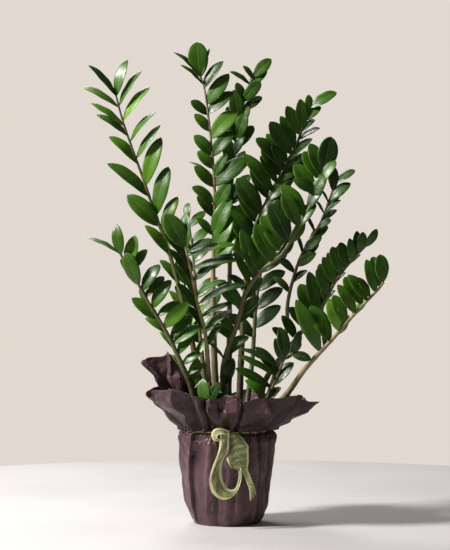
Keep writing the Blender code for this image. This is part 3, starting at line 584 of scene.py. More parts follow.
def smooth_route(points, count):
    """Even points along a Catmull-Rom curve through the given ones."""
    knots = [Vector(p) for p in points]
    knots = [2 * knots[0] - knots[1]] + knots + [2 * knots[-1] - knots[-2]]
    fine = []
    for a, b, c, d in zip(knots, knots[1:], knots[2:], knots[3:]):
        for step in range(12):
            t = step / 12
            fine.append(0.5 * (2 * b + (c - a) * t + (2 * a - 5 * b + 4 * c - d) * t * t
                               + (3 * b - 3 * c + d - a) * t ** 3))
    fine.append(knots[-2])
    reach = [0.0]
    for a, b in zip(fine, fine[1:]):
        reach.append(reach[-1] + (b - a).length)
    even = []
    for step in range(count):
        want = reach[-1] * step / (count - 1)
        spot = next(i for i in range(1, len(fine)) if reach[i] >= want - 1e-9)
        share = (want - reach[spot - 1]) / (reach[spot] - reach[spot - 1])
        even.append(fine[spot - 1].lerp(fine[spot], share))
    return even


def organza(name, edge_share, deep, pale):
    """Woven sheer cloth between two satin edges; the edges take a share of the width each."""
    surface, tree, shader = new_surface(name, {"Sheen Weight": 0.3, "Specular IOR Level": 0.6})
    along = add_node(tree, "ShaderNodeUVMap", {"uv_map": "weave"})[0]
    across, run, _ = parts_of(along)
    middle = (across - 0.5).apply("ABSOLUTE") * 2
    satin = between(middle, 1 - 2 * edge_share, 1 - 1.7 * edge_share)
    threads = (run * 1500).apply("SINE") * 0.5 + 0.5
    lines = noise(tree, 1.0, 3, 0.6, along, (2, 26, 1))
    shade = noise(tree, 1.0, 3, 0.6, along, (2, 9, 1))
    sheer = mixed(between(lines * 0.5 + shade * 0.5, 0.40, 0.64), deep, pale)
    feed(shader,
         Base_Color=mixed(satin, sheer, SATIN),
         Roughness=satin * -0.18 + 0.52,
         Alpha=satin * 0.30 + (1 - satin) * between(shade, 0.3, 0.7, -0.14, 0.04) + 0.56,
         Normal=bumped(threads * 0.2 + lines, 0.0006, 0.5))
    return surface


organza_wide = organza("organza_wide", 0.08, SHEER_DARK, SHEER)
organza_loop = organza("organza_loop", 0.22, SHEER_DARK, SHEER)
organza_narrow = organza("organza_narrow", 0.24, SHEER, SATIN)


def ribbon_piece(name, rows, columns, spot, surface, around=False, nodes=()):
    """A closed thin strip on spot(across, along), both from 0 to 1."""
    form = bmesh.new()
    weave = form.loops.layers.uv.new("weave")
    length = rows if around else rows - 1
    grid = [[form.verts.new(spot(c / (columns - 1), r / length)) for c in range(columns)]
            for r in range(rows)]
    quilted(form, weave, grid, length, columns - 1, columns - 1, length)
    form.normal_update()
    mesh = made_mesh(name, form)
    mesh.materials.append(surface)
    made = linked(name, mesh)
    thicken(made, RIBBON_THICK)
    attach(made, "root")
    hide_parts(*nodes)


band_radius = NECK_RADIUS + 0.0011


def band_spot(across, along):
    """One turn round the neck, rippled with the paper under it."""
    degrees = 360 * along
    ripple = 0.0005 * zigzag(degrees / 9.0 + 0.3 * math.sin(degrees / 17))
    gathers = 0.0008 * math.sin(math.tau * (2.4 * across + 3 * along))
    radius = band_radius + 0.0010 + ripple + gathers
    turn = math.radians(degrees)
    return (radius * math.sin(turn), -radius * math.cos(turn),
            (NECK_LOW + NECK_HIGH) / 2 + 0.0072 * (across - 0.5))


ribbon_piece("ribbon_round_neck", 180, 15, band_spot, organza_narrow, around=True,
             nodes=("ribbon_band",))

front = -(band_radius + 0.0008)


def bow_line(rows, count):
    """A smooth line through rows of across, out from the band, and height."""
    return smooth_route([(across, front - out, height) for across, out, height in rows], count)


def knot_spot(across, along):
    """A pinched turn of ribbon over the neck's band."""
    turn = math.tau * along
    pinch = 0.62 + 0.38 * abs(2 * across - 1) ** 1.5
    return (-0.004 + 0.0140 * (across - 0.5), front - 0.0043 - 0.0036 * pinch * math.cos(turn),
            0.1665 + 0.0046 * pinch * math.sin(turn))


ribbon_piece("ribbon_knot_turn", 36, 11, knot_spot, organza_narrow, around=True,
             nodes=("ribbon_knot",))

roll_edge = bow_line((
    (0.0040, 0.0120, 0.1725), (-0.0060, 0.0140, 0.1764), (-0.0142, 0.0150, 0.1775),
    (-0.0225, 0.0150, 0.1752), (-0.0268, 0.0150, 0.1690), (-0.0270, 0.0150, 0.1620),
    (-0.0235, 0.0150, 0.1560), (-0.0160, 0.0150, 0.1540), (-0.0095, 0.0150, 0.1572),
), 60)
roll_core = bow_line((
    (0.0060, 0.0100, 0.1600), (-0.0020, 0.0170, 0.1655), (-0.0090, 0.0190, 0.1670),
    (-0.0140, 0.0190, 0.1660), (-0.0168, 0.0190, 0.1635), (-0.0168, 0.0190, 0.1606),
    (-0.0150, 0.0180, 0.1590), (-0.0125, 0.0170, 0.1586), (-0.0090, 0.0160, 0.1600),
), 60)


def roll_spot(across, along):
    """The short end arches over to the left and rolls under."""
    place = min(59, round(along * 59))
    return roll_edge[place].lerp(roll_core[place], across)


ribbon_piece("ribbon_rolled_end", 60, 9, roll_spot, organza_narrow,
             nodes=("ribbon_curl",))

outer = bow_line((
    (-0.0122, 0.0140, 0.1690), (-0.0134, 0.0190, 0.1465), (-0.0173, 0.0230, 0.1310),
    (-0.0250, 0.0265, 0.1116), (-0.0305, 0.0285, 0.0884), (-0.0273, 0.0285, 0.0690),
    (-0.0161, 0.0275, 0.0565), (-0.0025, 0.0260, 0.0533), (0.0122, 0.0235, 0.0605),
    (0.0212, 0.0210, 0.0748), (0.0252, 0.0185, 0.0922), (0.0242, 0.0170, 0.1077),
), 90)
inner = bow_line((
    (0.0033, 0.0130, 0.1690), (0.0037, 0.0150, 0.1465), (0.0013, 0.0160, 0.1349),
    (-0.0064, 0.0160, 0.1232), (-0.0095, 0.0160, 0.1077), (-0.0080, 0.0165, 0.0903),
    (-0.0025, 0.0170, 0.0767), (0.0060, 0.0170, 0.0701), (0.0137, 0.0160, 0.0717),
    (0.0182, 0.0145, 0.0814), (0.0205, 0.0135, 0.0942), (0.0200, 0.0130, 0.1077),
), 90)


def loop_spot(across, along):
    """One wide loop seen from its side: its outer edge hangs low, its inner edge higher."""
    place = min(89, round(along * 89))
    spot = outer[place].lerp(inner[place], across)
    belly = math.sin(math.pi * across) * math.sin(math.pi * along)
    ripple = 0.0009 * math.sin(30 * along + 5 * across) * math.sin(math.pi * across)
    return spot + Vector((0, -0.003 * belly + ripple, -0.001 * belly))


ribbon_piece("ribbon_hanging_loop", 90, 15, loop_spot, organza_loop,
             nodes=("ribbon_loop",))


def fold_spot(across, along):
    """A wide stretch of ribbon that hangs beside the loop, crinkled across."""
    left = np.interp(along, (0, 0.15, 0.45, 0.8, 1), (0.0000, -0.0020, -0.0040, 0.0000, 0.0060))
    right = np.interp(along, (0, 0.12, 0.34, 0.7, 1), (0.0130, 0.0260, 0.0380, 0.0380, 0.0352))
    crinkle = 0.0012 * zigzag(along * 6 + 0.9 * across) * math.sin(math.pi * across)
    return Vector((left + (right - left) * across,
                   front - 0.0080 - 0.0050 * along + crinkle - 0.0022 * math.sin(math.pi * across),
                   0.1700 - 0.0620 * along - 0.0100 * across * along))


ribbon_piece("ribbon_side_fold", 80, 15, fold_spot, organza_wide,
             nodes=("ribbon_fold",))

tail_line = bow_line((
    (0.0300, 0.0150, 0.1060), (0.0340, 0.0155, 0.0970), (0.0392, 0.0170, 0.0840), (0.0440, 0.0185, 0.0700),
    (0.0455, 0.0190, 0.0560),
), 50)


def tail_spot(across, along):
    """The free end, cut on a slant."""
    spot = tail_line[min(49, round(along * 49))]
    slant = 0.0115 * (across - 0.5) * max(0.0, along - 0.8) / 0.2
    return spot + Vector((0.0105 * (across - 0.5), 0.0012 * math.sin(5 * along + 2 * across), slant))


ribbon_piece("ribbon_cut_end", 50, 9, tail_spot, organza_wide,
             nodes=("ribbon_tail",))


# ---- fronds ------------------------------------------------------------------------------------
# Each frond is one compound leaf: a thick, fleshy stem that swells at its joints, with waxy
# leaflets in two ranks.  They rise from the soil; leaflets keep out of each other's way.
def feathered(low, high, count, middle_low, middle_high, reach, rise):
    """Rows of leaflets in two even ranks, for a stem that leans away to the back."""
    rows = []
    for number in range(count):
        share = number / (count - 1)
        side = 0 if number == count - 1 else (-1, 1)[number % 2]
        size = 1 - 0.3 * share
        middle = middle_low + (middle_high - middle_low) * share
        rows.append((low + (high - low) * share, middle + side * reach * size,
                     low + (high - low) * share + rise * size, 4 - 14 * share, 30))
    return tuple(rows)


# Each frond: route of its stem, its radius at foot and tip, and its leaflets.  All in millimetres.
# A leaflet has the height of its foot on the stem, across and height of its tip, how far the tip
# comes forward, degrees its upper face is turned up from the front, and, where it isn't the usual
# one, its width as a share of its length.
FRONDS = {
    "c": dict(
        route=(
            (-24, -40, 130), (-33, -48, 270), (-38, -53, 337), (-52, -60, 393), (-59, -64, 426),
            (-66, -68, 461), (-73, -72, 495)),
        radii=(7.0, 2.0), leaflets=(
            (495, -108, 553, 6, 8, 0.56), (488, -74, 556, -6, 40), (485, -25, 508, 8, 45),
            (478, 14, 502, 10, 50, 0.26), (460, -110, 520, 2, 50, 0.3), (455, 18, 474, 12, 52, 0.28),
            (434, 14, 486, 2, 48, 0.28), (431, -101, 494, 8, 52, 0.3), (408, -4, 438, 12, 50, 0.32),
            (403, -94, 468, 6, 52, 0.3), (393, 32, 433, 14, 55, 0.26), (375, -86, 432, 6, 52, 0.32),
            (370, 8, 398, 10, 50, 0.32), (347, 8, 384, 6, 50, 0.34), (345, -72, 396, 4, 50, 0.34),
            (320, -12, 356, 8, 46))),
    "d": dict(
        route=(
            (-44, -28, 130), (-61, -44, 236), (-80, -56, 286), (-106, -68, 342), (-139, -80, 398),
            (-155, -85, 428), (-174, -90, 459), (-187, -92, 483)),
        radii=(7.2, 2.0), leaflets=(
            (483, -245, 513, -4, 62, 0.24), (480, -194, 534, 2, 20), (459, -161, 515, -4, 12),
            (449, -142, 492, -12, 25), (426, -177, 484, 12, 12, 0.44), (417, -119, 464, 6, 32),
            (386, -100, 437, 8, 30), (395, -154, 426, -14, 45), (367, -167, 405, 8, 30),
            (352, -68, 397, 12, 8, 0.46), (342, -143, 372, -4, 52), (323, -45, 357, 8, 44),
            (312, -118, 346, -10, 50), (287, -47, 309, 10, 36, 0.46), (243, -52, 298, 10, 8, 0.44),
            (438, -186, 474, -6, 36, 0.44), (405, -112, 444, -8, 34, 0.44), (372, -84, 400, -4, 36, 0.44),
            (330, -66, 376, -6, 30, 0.44), (304, -58, 344, 4, 30, 0.44), (274, -96, 304, -8, 44, 0.4),
            (268, -36, 288, -4, 40, 0.44), (226, -38, 262, -6, 34, 0.44))),
    "g": dict(
        route=(
            (6, -30, 130), (-7, -32, 258), (1, -38, 310), (21, -46, 367), (32, -50, 411), (60, -57, 452),
            (96, -63, 481), (132, -67, 539), (152, -69, 580), (170, -70, 630)),
        radii=(7.2, 2.2), leaflets=(
            (630, 183, 688, 8, 8, 0.6), (620, 147, 677, 4, 18), (604, 190, 646, 10, 34),
            (592, 117, 614, 12, 10, 0.52), (575, 172, 622, 10, 30), (530, 99, 590, 10, 10, 0.44),
            (502, 76, 570, 10, 10), (468, 51, 535, 12, 12), (440, 26, 527, 8, 16, 0.32),
            (426, 12, 487, 14, 40, 0.34), (418, 3, 447, 12, 46), (400, 62, 442, -12, 40),
            (372, 56, 408, -10, 40), (345, -18, 376, 8, 40), (318, 38, 336, 12, 26, 0.55),
            (248, 10, 297, 10, 12, 0.5), (612, 136, 664, -4, 22), (584, 120, 642, -6, 22),
            (560, 166, 604, 4, 34), (548, 96, 606, -6, 22), (528, 154, 574, 0, 34),
            (500, 138, 548, -6, 36), (484, 62, 552, -6, 20), (474, 120, 516, -8, 36),
            (450, 40, 514, -8, 24), (448, 98, 486, -10, 36), (388, -16, 436, 6, 34),
            (356, 50, 392, -12, 40), (330, -24, 362, -8, 36), (300, 32, 332, -8, 40),
            (292, -36, 330, 6, 36))),
    "j": dict(
        route=(
            (38, -12, 130), (68, -25, 187), (110, -40, 238), (139, -54, 280), (186, -72, 333),
            (228, -86, 382), (262, -96, 418), (273, -99, 433)),
        radii=(7.2, 2.4), leaflets=(
            (433, 267, 481, 6, 15, 0.52), (415, 243, 472, 10, 15, 0.42), (400, 212, 446, 14, 30),
            (405, 228, 442, 2, 45), (378, 194, 428, 14, 18, 0.42), (372, 246, 402, -16, 50),
            (360, 186, 410, 6, 12, 0.46), (346, 178, 400, 14, 12, 0.42), (340, 218, 374, -16, 50),
            (309, 122, 402, 18, 10, 0.32), (328, 156, 366, 4, 36), (424, 256, 478, -6, 18),
            (392, 206, 442, -4, 24), (354, 178, 404, -6, 18), (328, 148, 392, -6, 16),
            (316, 172, 350, -12, 46))),
    "i": dict(
        route=(
            (50, 2, 130), (62, -6, 230), (78, -10, 272), (131, -20, 340), (164, -26, 378), (193, -31, 433),
            (222, -35, 471), (247, -38, 497)),
        radii=(7.0, 2.0), leaflets=(
            (497, 267, 526, 6, 28), (484, 242, 521, 12, 22), (471, 218, 510, 14, 20),
            (460, 201, 503, 10, 18), (462, 238, 484, -16, 50), (446, 187, 495, 14, 16),
            (429, 171, 477, 14, 12), (430, 212, 452, -18, 50), (409, 161, 456, 14, 12, 0.44),
            (396, 176, 450, 2, 30), (375, 146, 451, 14, 12, 0.34), (396, 192, 420, -18, 50),
            (350, 112, 388, 12, 28), (345, 156, 374, -14, 45), (318, 82, 352, 10, 44),
            (478, 232, 524, 2, 24), (455, 198, 498, -4, 20), (438, 180, 486, -4, 16),
            (420, 166, 466, -6, 16), (385, 152, 438, -6, 20), (366, 132, 430, -4, 16),
            (366, 174, 398, -14, 45), (330, 100, 374, -6, 30))),
    "a": dict(
        route=(
            (-30, 4, 130), (-62, 8, 320), (-103, 12, 481), (-129, 13, 552), (-150, 12, 615),
            (-170, 8, 670), (-187, 4, 720), (-195, 2, 749), (-200, 1, 769)),
        radii=(7.0, 1.7), leaflets=(
            (769, -181, 833, 4, 34, 0.38), (767, -248, 824, 6, 58, 0.34), (749, -156, 814, 8, 56, 0.34),
            (746, -258, 786, 8, 60, 0.34), (722, -142, 785, 8, 50, 0.34), (712, -244, 756, 8, 58, 0.34),
            (695, -233, 736, 10, 55, 0.36), (684, -132, 741, 8, 60, 0.34), (654, -122, 717, 8, 52, 0.34),
            (645, -210, 697, 8, 40, 0.34), (606, -121, 694, 8, 18, 0.34), (586, -214, 649, 8, 44, 0.34),
            (552, -108, 641, 8, 24, 0.34), (533, -179, 590, 10, 10, 0.42), (521, -91, 587, 8, 26, 0.36),
            (482, -146, 536, 10, 36, 0.36), (474, -114, 527, -10, 50, 0.36), (450, -70, 494, -6, 36, 0.4),
            (430, -120, 474, -8, 44, 0.4), (404, -56, 446, -8, 40, 0.4), (376, -104, 418, -8, 40, 0.4),
            (350, -44, 392, -8, 36, 0.4), (316, -92, 356, -6, 40, 0.4), (296, -30, 336, -8, 38, 0.4))),
    "b": dict(
        route=(
            (-8, -6, 130), (-21, -6, 258), (-25, -4, 420), (-23, -2, 540), (-23, 0, 616), (-28, 0, 675),
            (-33, 0, 724), (-40, -1, 778), (-48, -3, 803)),
        radii=(7.5, 1.8), leaflets=(
            (803, -55, 863, 8, 0, 0.58), (801, -33, 854, -2, 45, 0.34), (802, -93, 848, 4, 58, 0.3),
            (788, -82, 824, 8, 60, 0.3), (780, -8, 830, 8, 45), (752, 3, 807, 8, 20),
            (735, 10, 776, 2, 30), (733, -64, 759, 6, 24, 0.5), (703, -58, 735, 6, 20, 0.5),
            (690, 16, 740, 6, 18), (660, -58, 697, 6, 12, 0.48), (658, 10, 704, 8, 22),
            (636, -52, 668, 6, 16, 0.5), (622, 1, 663, 10, 20, 0.42), (605, 33, 655, 14, 24),
            (603, -58, 641, 10, 26), (620, -69, 652, -8, 66, 0.24), (575, -62, 604, 10, 36),
            (560, 5, 612, 12, 16), (548, -52, 588, 8, 30), (512, 6, 583, 14, 24), (480, 8, 551, 14, 30),
            (455, 13, 518, 16, 34), (516, -54, 548, 8, 36))),
    "f": dict(
        route=(
            (20, 18, 130), (26, 30, 300), (36, 42, 450), (50, 47, 530), (70, 50, 574), (87, 51, 604),
            (113, 51, 658), (124, 50, 675), (140, 47, 720), (152, 44, 752)),
        radii=(7.2, 2.2), leaflets=(
            (752, 199, 779, 8, 28, 0.42), (727, 171, 753, 2, 26), (712, 134, 766, 10, 10),
            (701, 109, 753, 10, 10), (690, 169, 715, 4, 58), (666, 79, 725, 10, 12),
            (658, 155, 696, 4, 46), (642, 55, 697, 8, 40), (636, 84, 684, 12, 34), (640, 150, 668, -8, 40),
            (612, 62, 663, 8, 44), (598, 31, 667, 12, 24, 0.34), (600, 134, 640, -6, 40),
            (556, 19, 622, 12, 12), (566, 116, 612, -6, 40), (520, 92, 566, -8, 36), (500, 6, 564, 10, 20),
            (470, 0, 520, 8, 36), (738, 150, 774, 4, 16, 0.46), (706, 160, 730, 0, 44),
            (676, 100, 738, -6, 26), (650, 74, 706, -8, 30), (626, 66, 682, 0, 22),
            (616, 148, 652, -2, 36), (584, 44, 642, -6, 24), (580, 124, 628, 6, 30),
            (540, 22, 592, -6, 24), (546, 108, 596, 4, 34), (512, 12, 574, -8, 24), (486, 64, 532, 8, 30),
            (484, 0, 540, -4, 30))),
    "h": dict(
        route=(
            (42, 34, 130), (84, 46, 250), (108, 52, 340), (112, 52, 400), (132, 49, 472), (156, 44, 515),
            (171, 40, 541), (185, 36, 578), (198, 32, 616)),
        radii=(6.2, 1.8), leaflets=(
            (616, 232, 636, 6, 45), (598, 193, 644, 6, 25), (580, 223, 613, 8, 30),
            (576, 170, 602, 2, 56, 0.36), (552, 205, 583, 8, 50, 0.36), (556, 160, 584, -2, 56, 0.36),
            (530, 189, 546, 10, 24, 0.46), (522, 143, 557, -2, 54, 0.36), (487, 172, 517, 10, 20, 0.5),
            (483, 127, 522, 0, 54, 0.36), (461, 162, 486, 10, 20, 0.5), (448, 92, 478, -4, 44),
            (430, 146, 455, -2, 44), (412, 86, 444, -6, 44), (600, 186, 642, -6, 30),
            (566, 208, 598, -6, 40), (540, 200, 566, -6, 40), (505, 184, 536, -6, 30),
            (472, 168, 504, -6, 30))),
    "e": dict(
        route=(
            (0, 22, 130), (4, 44, 300), (5, 62, 450), (8, 72, 587), (14, 78, 665), (22, 79, 720),
            (30, 78, 765), (43, 76, 800), (50, 74, 812)),
        radii=(7.0, 1.8), leaflets=(
            (812, 81, 842, 8, 12, 0.52), (806, 31, 831, 4, 40), (795, 6, 821, 4, 50, 0.36),
            (765, 61, 801, 10, 8, 0.5), (745, 64, 776, -6, 36), (720, 13, 786, 10, 10),
            (716, 40, 756, 8, 20), (692, 34, 742, 10, 18), (690, -8, 728, 2, 30), (665, 30, 707, 4, 30),
            (640, -6, 688, 4, 30), (622, 40, 662, -2, 36), (596, -12, 640, 2, 30), (574, 38, 616, -6, 36),
            (548, -16, 590, 0, 30), (524, 30, 566, -6, 30), (790, 72, 828, -4, 16), (755, 20, 802, -6, 30),
            (700, 2, 756, 4, 26), (676, 48, 722, -6, 26), (650, -12, 706, -6, 26), (630, 32, 674, 8, 26),
            (606, -14, 656, 8, 26), (585, 42, 630, 6, 30), (560, -14, 608, 8, 26), (536, 38, 580, 8, 30))),
    "k": dict(
        route=(
            (28, -38, 130), (53, -56, 198), (70, -67, 228), (83, -71, 254), (93, -75, 279),
            (101, -79, 298), (116, -84, 309)),
        radii=(5.0, 2.0), leaflets=(
            (309, 147, 298, 6, 18, 0.52), (306, 128, 347, 4, 30), (300, 93, 354, 0, 16),
            (292, 84, 334, 10, 18, 0.46), (280, 26, 319, 6, 58, 0.24), (266, 19, 306, 12, 54, 0.24),
            (246, 16, 283, 10, 44, 0.3), (296, 130, 328, -10, 30), (270, 52, 320, -6, 40),
            (250, 116, 292, 4, 40), (225, 34, 262, -4, 44), (215, 94, 248, 2, 44))),
    "l": dict(
        route=((-18, -58, 130), (-28, -62, 180), (-36, -66, 218)),
        radii=(4.4, 1.8), leaflets=(
            (218, -12, 257, 6, 16, 0.48), (212, -44, 262, -4, 24), (200, 0, 238, 8, 26),
            (190, 14, 226, 4, 36), (184, -60, 226, 6, 30), (176, 10, 206, -8, 40))),
    "m": dict(
        route=((26, 52, 130), (46, 78, 280), (55, 98, 400), (74, 122, 500), (92, 142, 568)),
        radii=(6.2, 1.8), leaflets=feathered(330, 568, 15, 50, 94, 46, 44)),
    "n": dict(
        route=((-26, 40, 130), (-44, 62, 280), (-56, 80, 400), (-64, 98, 490), (-72, 112, 550)),
        radii=(6.2, 1.8), leaflets=feathered(320, 550, 15, -48, -74, 44, 44)),
}
MM = 0.001
# what a leaflet tries, in turn, where another frond is in its way: further forward in millimetres,
# turned further up in degrees, and the share of its length that is left
SWINGS = tuple(
    (forward, turned_up, size)
    for size in (1.0, 0.88, 0.75, 0.62)
    for forward in (0, 8, -8, 16, -16, 26, -26, 38)
    for turned_up in (0, 20, -20, 40)
)
STEM_POINTS = 14  # in the search for room
STEM_LINE = 40  # in the stem that is grown
LEAF_RINGS = ((0.20, 0.68), (0.52, 1.00), (0.82, 0.70))
LEAF_WIDTH = 0.48
LEAF_FOLD = 0.16
LEAF_ARCH = 0.05
ROOM = 1.12
ROOM_THICK = 0.0034
STEM_ROOM = 0.0014
STEM_END = 0.0025
# how far leaflets keep off the collar, its edge and the neck
COLLAR_ROOM = 0.007
EDGE_ROOM = 0.004
NECK_ROOM = 0.005


def stem_place(route, height):
    """Point and direction of a stem where it passes a height, kept inside its end."""
    height = min(height, route[-1].z - STEM_END)
    for low, high in zip(route, route[1:]):
        if height <= high.z:
            break
    step = high - low
    share = min(max((height - low.z) / step.z, 0.0), 1.0)
    return low + step * share, step.normalized()


def stem_radius(radii, share):
    """A stem thins quickly over its foot and evenly after it."""
    base, tip = radii
    return (tip + (base - tip) * (1 - share) ** 1.3) * MM


def leaflet_cage(length, width, thick):
    """A leaflet as a four-sided ball, drawn out into a blade with its base at the origin.

    Its midrib runs along +Y and its upper face looks along +Z.
    """
    cage = bmesh.new()
    bmesh.ops.create_uvsphere(cage, u_segments=4, v_segments=len(LEAF_RINGS) + 1, radius=1.0)
    heights = sorted({round(v.co.z, 4) for v in cage.verts})
    rows = ((0.0, 0.0),) + LEAF_RINGS + ((1.0, 0.0),)
    for v in cage.verts:
        along, wide = rows[heights.index(round(v.co.z, 4))]
        flat = Vector((v.co.x, v.co.y))
        if flat.length > 1e-6:
            flat.normalize()
        across = flat.x * width / 2 * wide
        rise = abs(across) * LEAF_FOLD + LEAF_ARCH * length * 4 * along * (1 - along)
        v.co = Vector((across, along * length, rise + flat.y * thick / 2))
    bmesh.ops.recalc_face_normals(cage, faces=cage.faces)
    return cage


def leaflet_place(route, leaflet, swing):
    """Where a leaflet lies, as a matrix, with its length and width."""
    foot, across, height, forward, turned_up, *share = leaflet
    more_forward, more_up, size = swing
    spot, along = stem_place(route, foot * MM)
    tip = Vector((across * MM, spot.y - (forward + more_forward) * MM, height * MM))
    midrib = (tip - spot).normalized()
    front = Vector((0, -1, 0))
    front = (front - midrib * front.dot(midrib)).normalized()
    up = front.cross(midrib)
    if up.dot(along) < 0:
        up = -up
    turn = math.radians(turned_up + more_up)
    out = front * math.cos(turn) + up * math.sin(turn)
    frame = Matrix((midrib.cross(out), midrib, out)).transposed().to_4x4()
    length = (tip - spot).length * size
    return Matrix.Translation(spot) @ frame, length, length * (share[0] if share else LEAF_WIDTH)


def stem_tree(route, radii):
    """Search tree of a stem, a little fatter than it is."""
    spots, faces = [], []
    for number, spot in enumerate(route):
        nearby = route[min(number + 1, len(route) - 1)] - route[max(number - 1, 0)]
        east = nearby.cross(Vector((0, 1, 0))).normalized()
        north = nearby.cross(east).normalized()
        radius = stem_radius(radii, number / (len(route) - 1)) + STEM_ROOM
        for corner in range(6):
            turn = math.tau * corner / 6
            spots.append(spot + (east * math.cos(turn) + north * math.sin(turn)) * radius)
        if number:
            low = 6 * (number - 1)
            faces += [(low + c, low + (c + 1) % 6, low + 6 + (c + 1) % 6, low + 6 + c)
                      for c in range(6)]
    return BVHTree.FromPolygons(spots, faces)


def in_paper(spots):
    """Whether any point is in the paper's collar, or beyond the neck."""
    for s in spots:
        degrees = math.degrees(math.atan2(s.x, -s.y))
        radius = math.hypot(s.x, s.y)
        height = collar_edge(degrees)[1] + EDGE_ROOM
        if NECK_HIGH < s.z < height:
            share = min(1.0, (s.z - NECK_HIGH) / (height - NECK_HIGH))
            if radius > collar_radius(degrees, share) - COLLAR_ROOM:
                return True
        elif s.z <= NECK_HIGH and radius > NECK_RADIUS - NECK_ROOM:
            return True
    return False


def place_leaflets():
    """Settle every frond's leaflets so that no two fronds run into each other."""
    routes = {key: smooth_route([Vector(p) * MM for p in frond["route"]], STEM_POINTS)
              for key, frond in FRONDS.items()}
    stems = {key: stem_tree(routes[key], FRONDS[key]["radii"]) for key in FRONDS}
    settled = {key: [] for key in FRONDS}
    taken = []
    for key, frond in FRONDS.items():
        others = [stems[other] for other in FRONDS if other != key]
        for leaflet in frond["leaflets"]:
            for swing in SWINGS:
                place, length, width = leaflet_place(routes[key], leaflet, swing)
                cage = leaflet_cage(length * 1.03, width * ROOM, ROOM_THICK)
                spots = [place @ v.co for v in cage.verts]
                tree = BVHTree.FromPolygons(spots, [[v.index for v in f.verts] for f in cage.faces])
                cage.free()
                middle = place @ Vector((0, length / 2, 0))
                if in_paper(spots) or any(tree.overlap(stem) for stem in others):
                    continue
                if any(key != other and (middle - far).length < (length + wide) * 0.6
                       and tree.overlap(there) for other, there, far, wide in taken):
                    continue
                taken.append((key, tree, middle, length))
                settled[key].append((place, length, width))
                break
    return settled


# blade: midrib pale, faint veins arching to the edge, a painted highlight round its rim, darker or
# yellower from leaflet to leaflet
LEAF_DARK = (0.0115, 0.0390, 0.0028)
LEAF_MID = (0.0430, 0.1280, 0.0050)
LEAF_YOUNG_AND_RIM_HIGHLIGHT = (0.1700, 0.3700, 0.0200)
LEAF_UNDER = (0.0700, 0.1600, 0.0200)
LEAF_RIB = (0.1500, 0.2600, 0.0600)
leaf_skin, tree, shader = new_surface("leaf_skin", {"Specular IOR Level": 0.42})
across = painted(tree, "blade_across")
run = painted(tree, "blade_along")
tint = painted(tree, "blade_tint")
upper = painted(tree, "blade_upper")
off = across.apply("ABSOLUTE")
blotch = noise(tree, 90, 4, 0.6)
fleck = noise(tree, 1400, 2)
vein = ((run * 46 - off * 13 + blotch * 1.5).apply("SINE") * 0.5 + 0.5) ** 6
green = mixed(between(tint + (blotch - 0.5) * 0.35, 0.0, 0.55), LEAF_DARK, LEAF_MID)
green = mixed(between(tint, 0.55, 1.0), green, LEAF_YOUNG_AND_RIM_HIGHLIGHT)
green = mixed(vein * between(off, 0.05, 0.5) * 0.10, green, LEAF_RIB)
# a paler rim round each leaflet: painted edge highlight
green = mixed(between(off, 0.92, 1.0) * 0.35, green, LEAF_YOUNG_AND_RIM_HIGHLIGHT)
rib = between(off, 0.010, 0.055, 1.0, 0.0) * between(run, 0.6, 1.0, 1.0, 0.3)
green = mixed(rib * 0.60, green, LEAF_RIB)
under = between(upper, -0.05, 0.05, 1.0, 0.0)
feed(shader,
     Base_Color=mixed(under * 0.72, green, LEAF_UNDER),
     Roughness=between(blotch, 0.3, 0.7, 0.30, 0.44) + under * 0.20,
     Normal=bumped(vein * -0.35 + rib * -1.2 + blotch * 0.8 + fleck * 0.06, 0.0006, 0.25))

STEM_GREEN = (0.080, 0.088, 0.026)
STEM_TAN = (0.380, 0.295, 0.140)
STEM_BROWN = (0.050, 0.032, 0.018)
STEM_PAINTED_SHADE = (0.050, 0.052, 0.018)
stem_skin, tree, shader = new_surface("stem_skin", {"Specular IOR Level": 0.45})
tone = painted(tree, "stem_tone")
height = painted(tree, "stem_along")
mottle = noise(tree, 130, 5, 0.65, stretch=(1, 1, 0.45))
dash = noise(tree, 420, 3, 0.6, stretch=(0.5, 0.5, 1.6))
bark = mixed(between(tone, 0.0, 1.0), STEM_GREEN, STEM_TAN)
# darker towards the foot of each stem: painted shade low among the stems
bark = mixed(between(height, 0.50, 0.15) * 0.6, bark, STEM_PAINTED_SHADE)
bark = mixed(between(mottle + height * 0.08, 0.52, 0.80) * 0.62, bark, STEM_BROWN)
bark = mixed(between(dash, 0.58, 0.66) * 0.45, bark, STEM_BROWN)
feed(shader,
     Base_Color=bark,
     Roughness=between(mottle, 0.3, 0.7, 0.34, 0.52),
     Normal=bumped(mottle * 0.6 + dash * 0.4, 0.0008, 0.5))

# one tree grows a whole frond from a line of stem points and loose leaflet feet
BLADE_AROUND = 14
BLADE_ALONG = 20
BLADE_SHOULDER = 0.78  # how soon a blade widens past its foot
BLADE_FULL = 2.50
STEM_RINGS = 150
STEM_SIDES = 16
SEAM = 0.00001
group, ports = named_tree(
    "zz_frond", ("Blade thickness", "NodeSocketFloat"), ("Joint swelling", "NodeSocketFloat"),
    ("Joints", "NodeSocketFloat"), ("Stem surface", "NodeSocketMaterial"),
    ("Leaf surface", "NodeSocketMaterial"))
feet, stem_line = add_node(group, "GeometryNodeSeparateGeometry", {"domain": "POINT"}, {
    0: ports["Geometry"], 1: named_value(group, "is_foot", "BOOLEAN")})

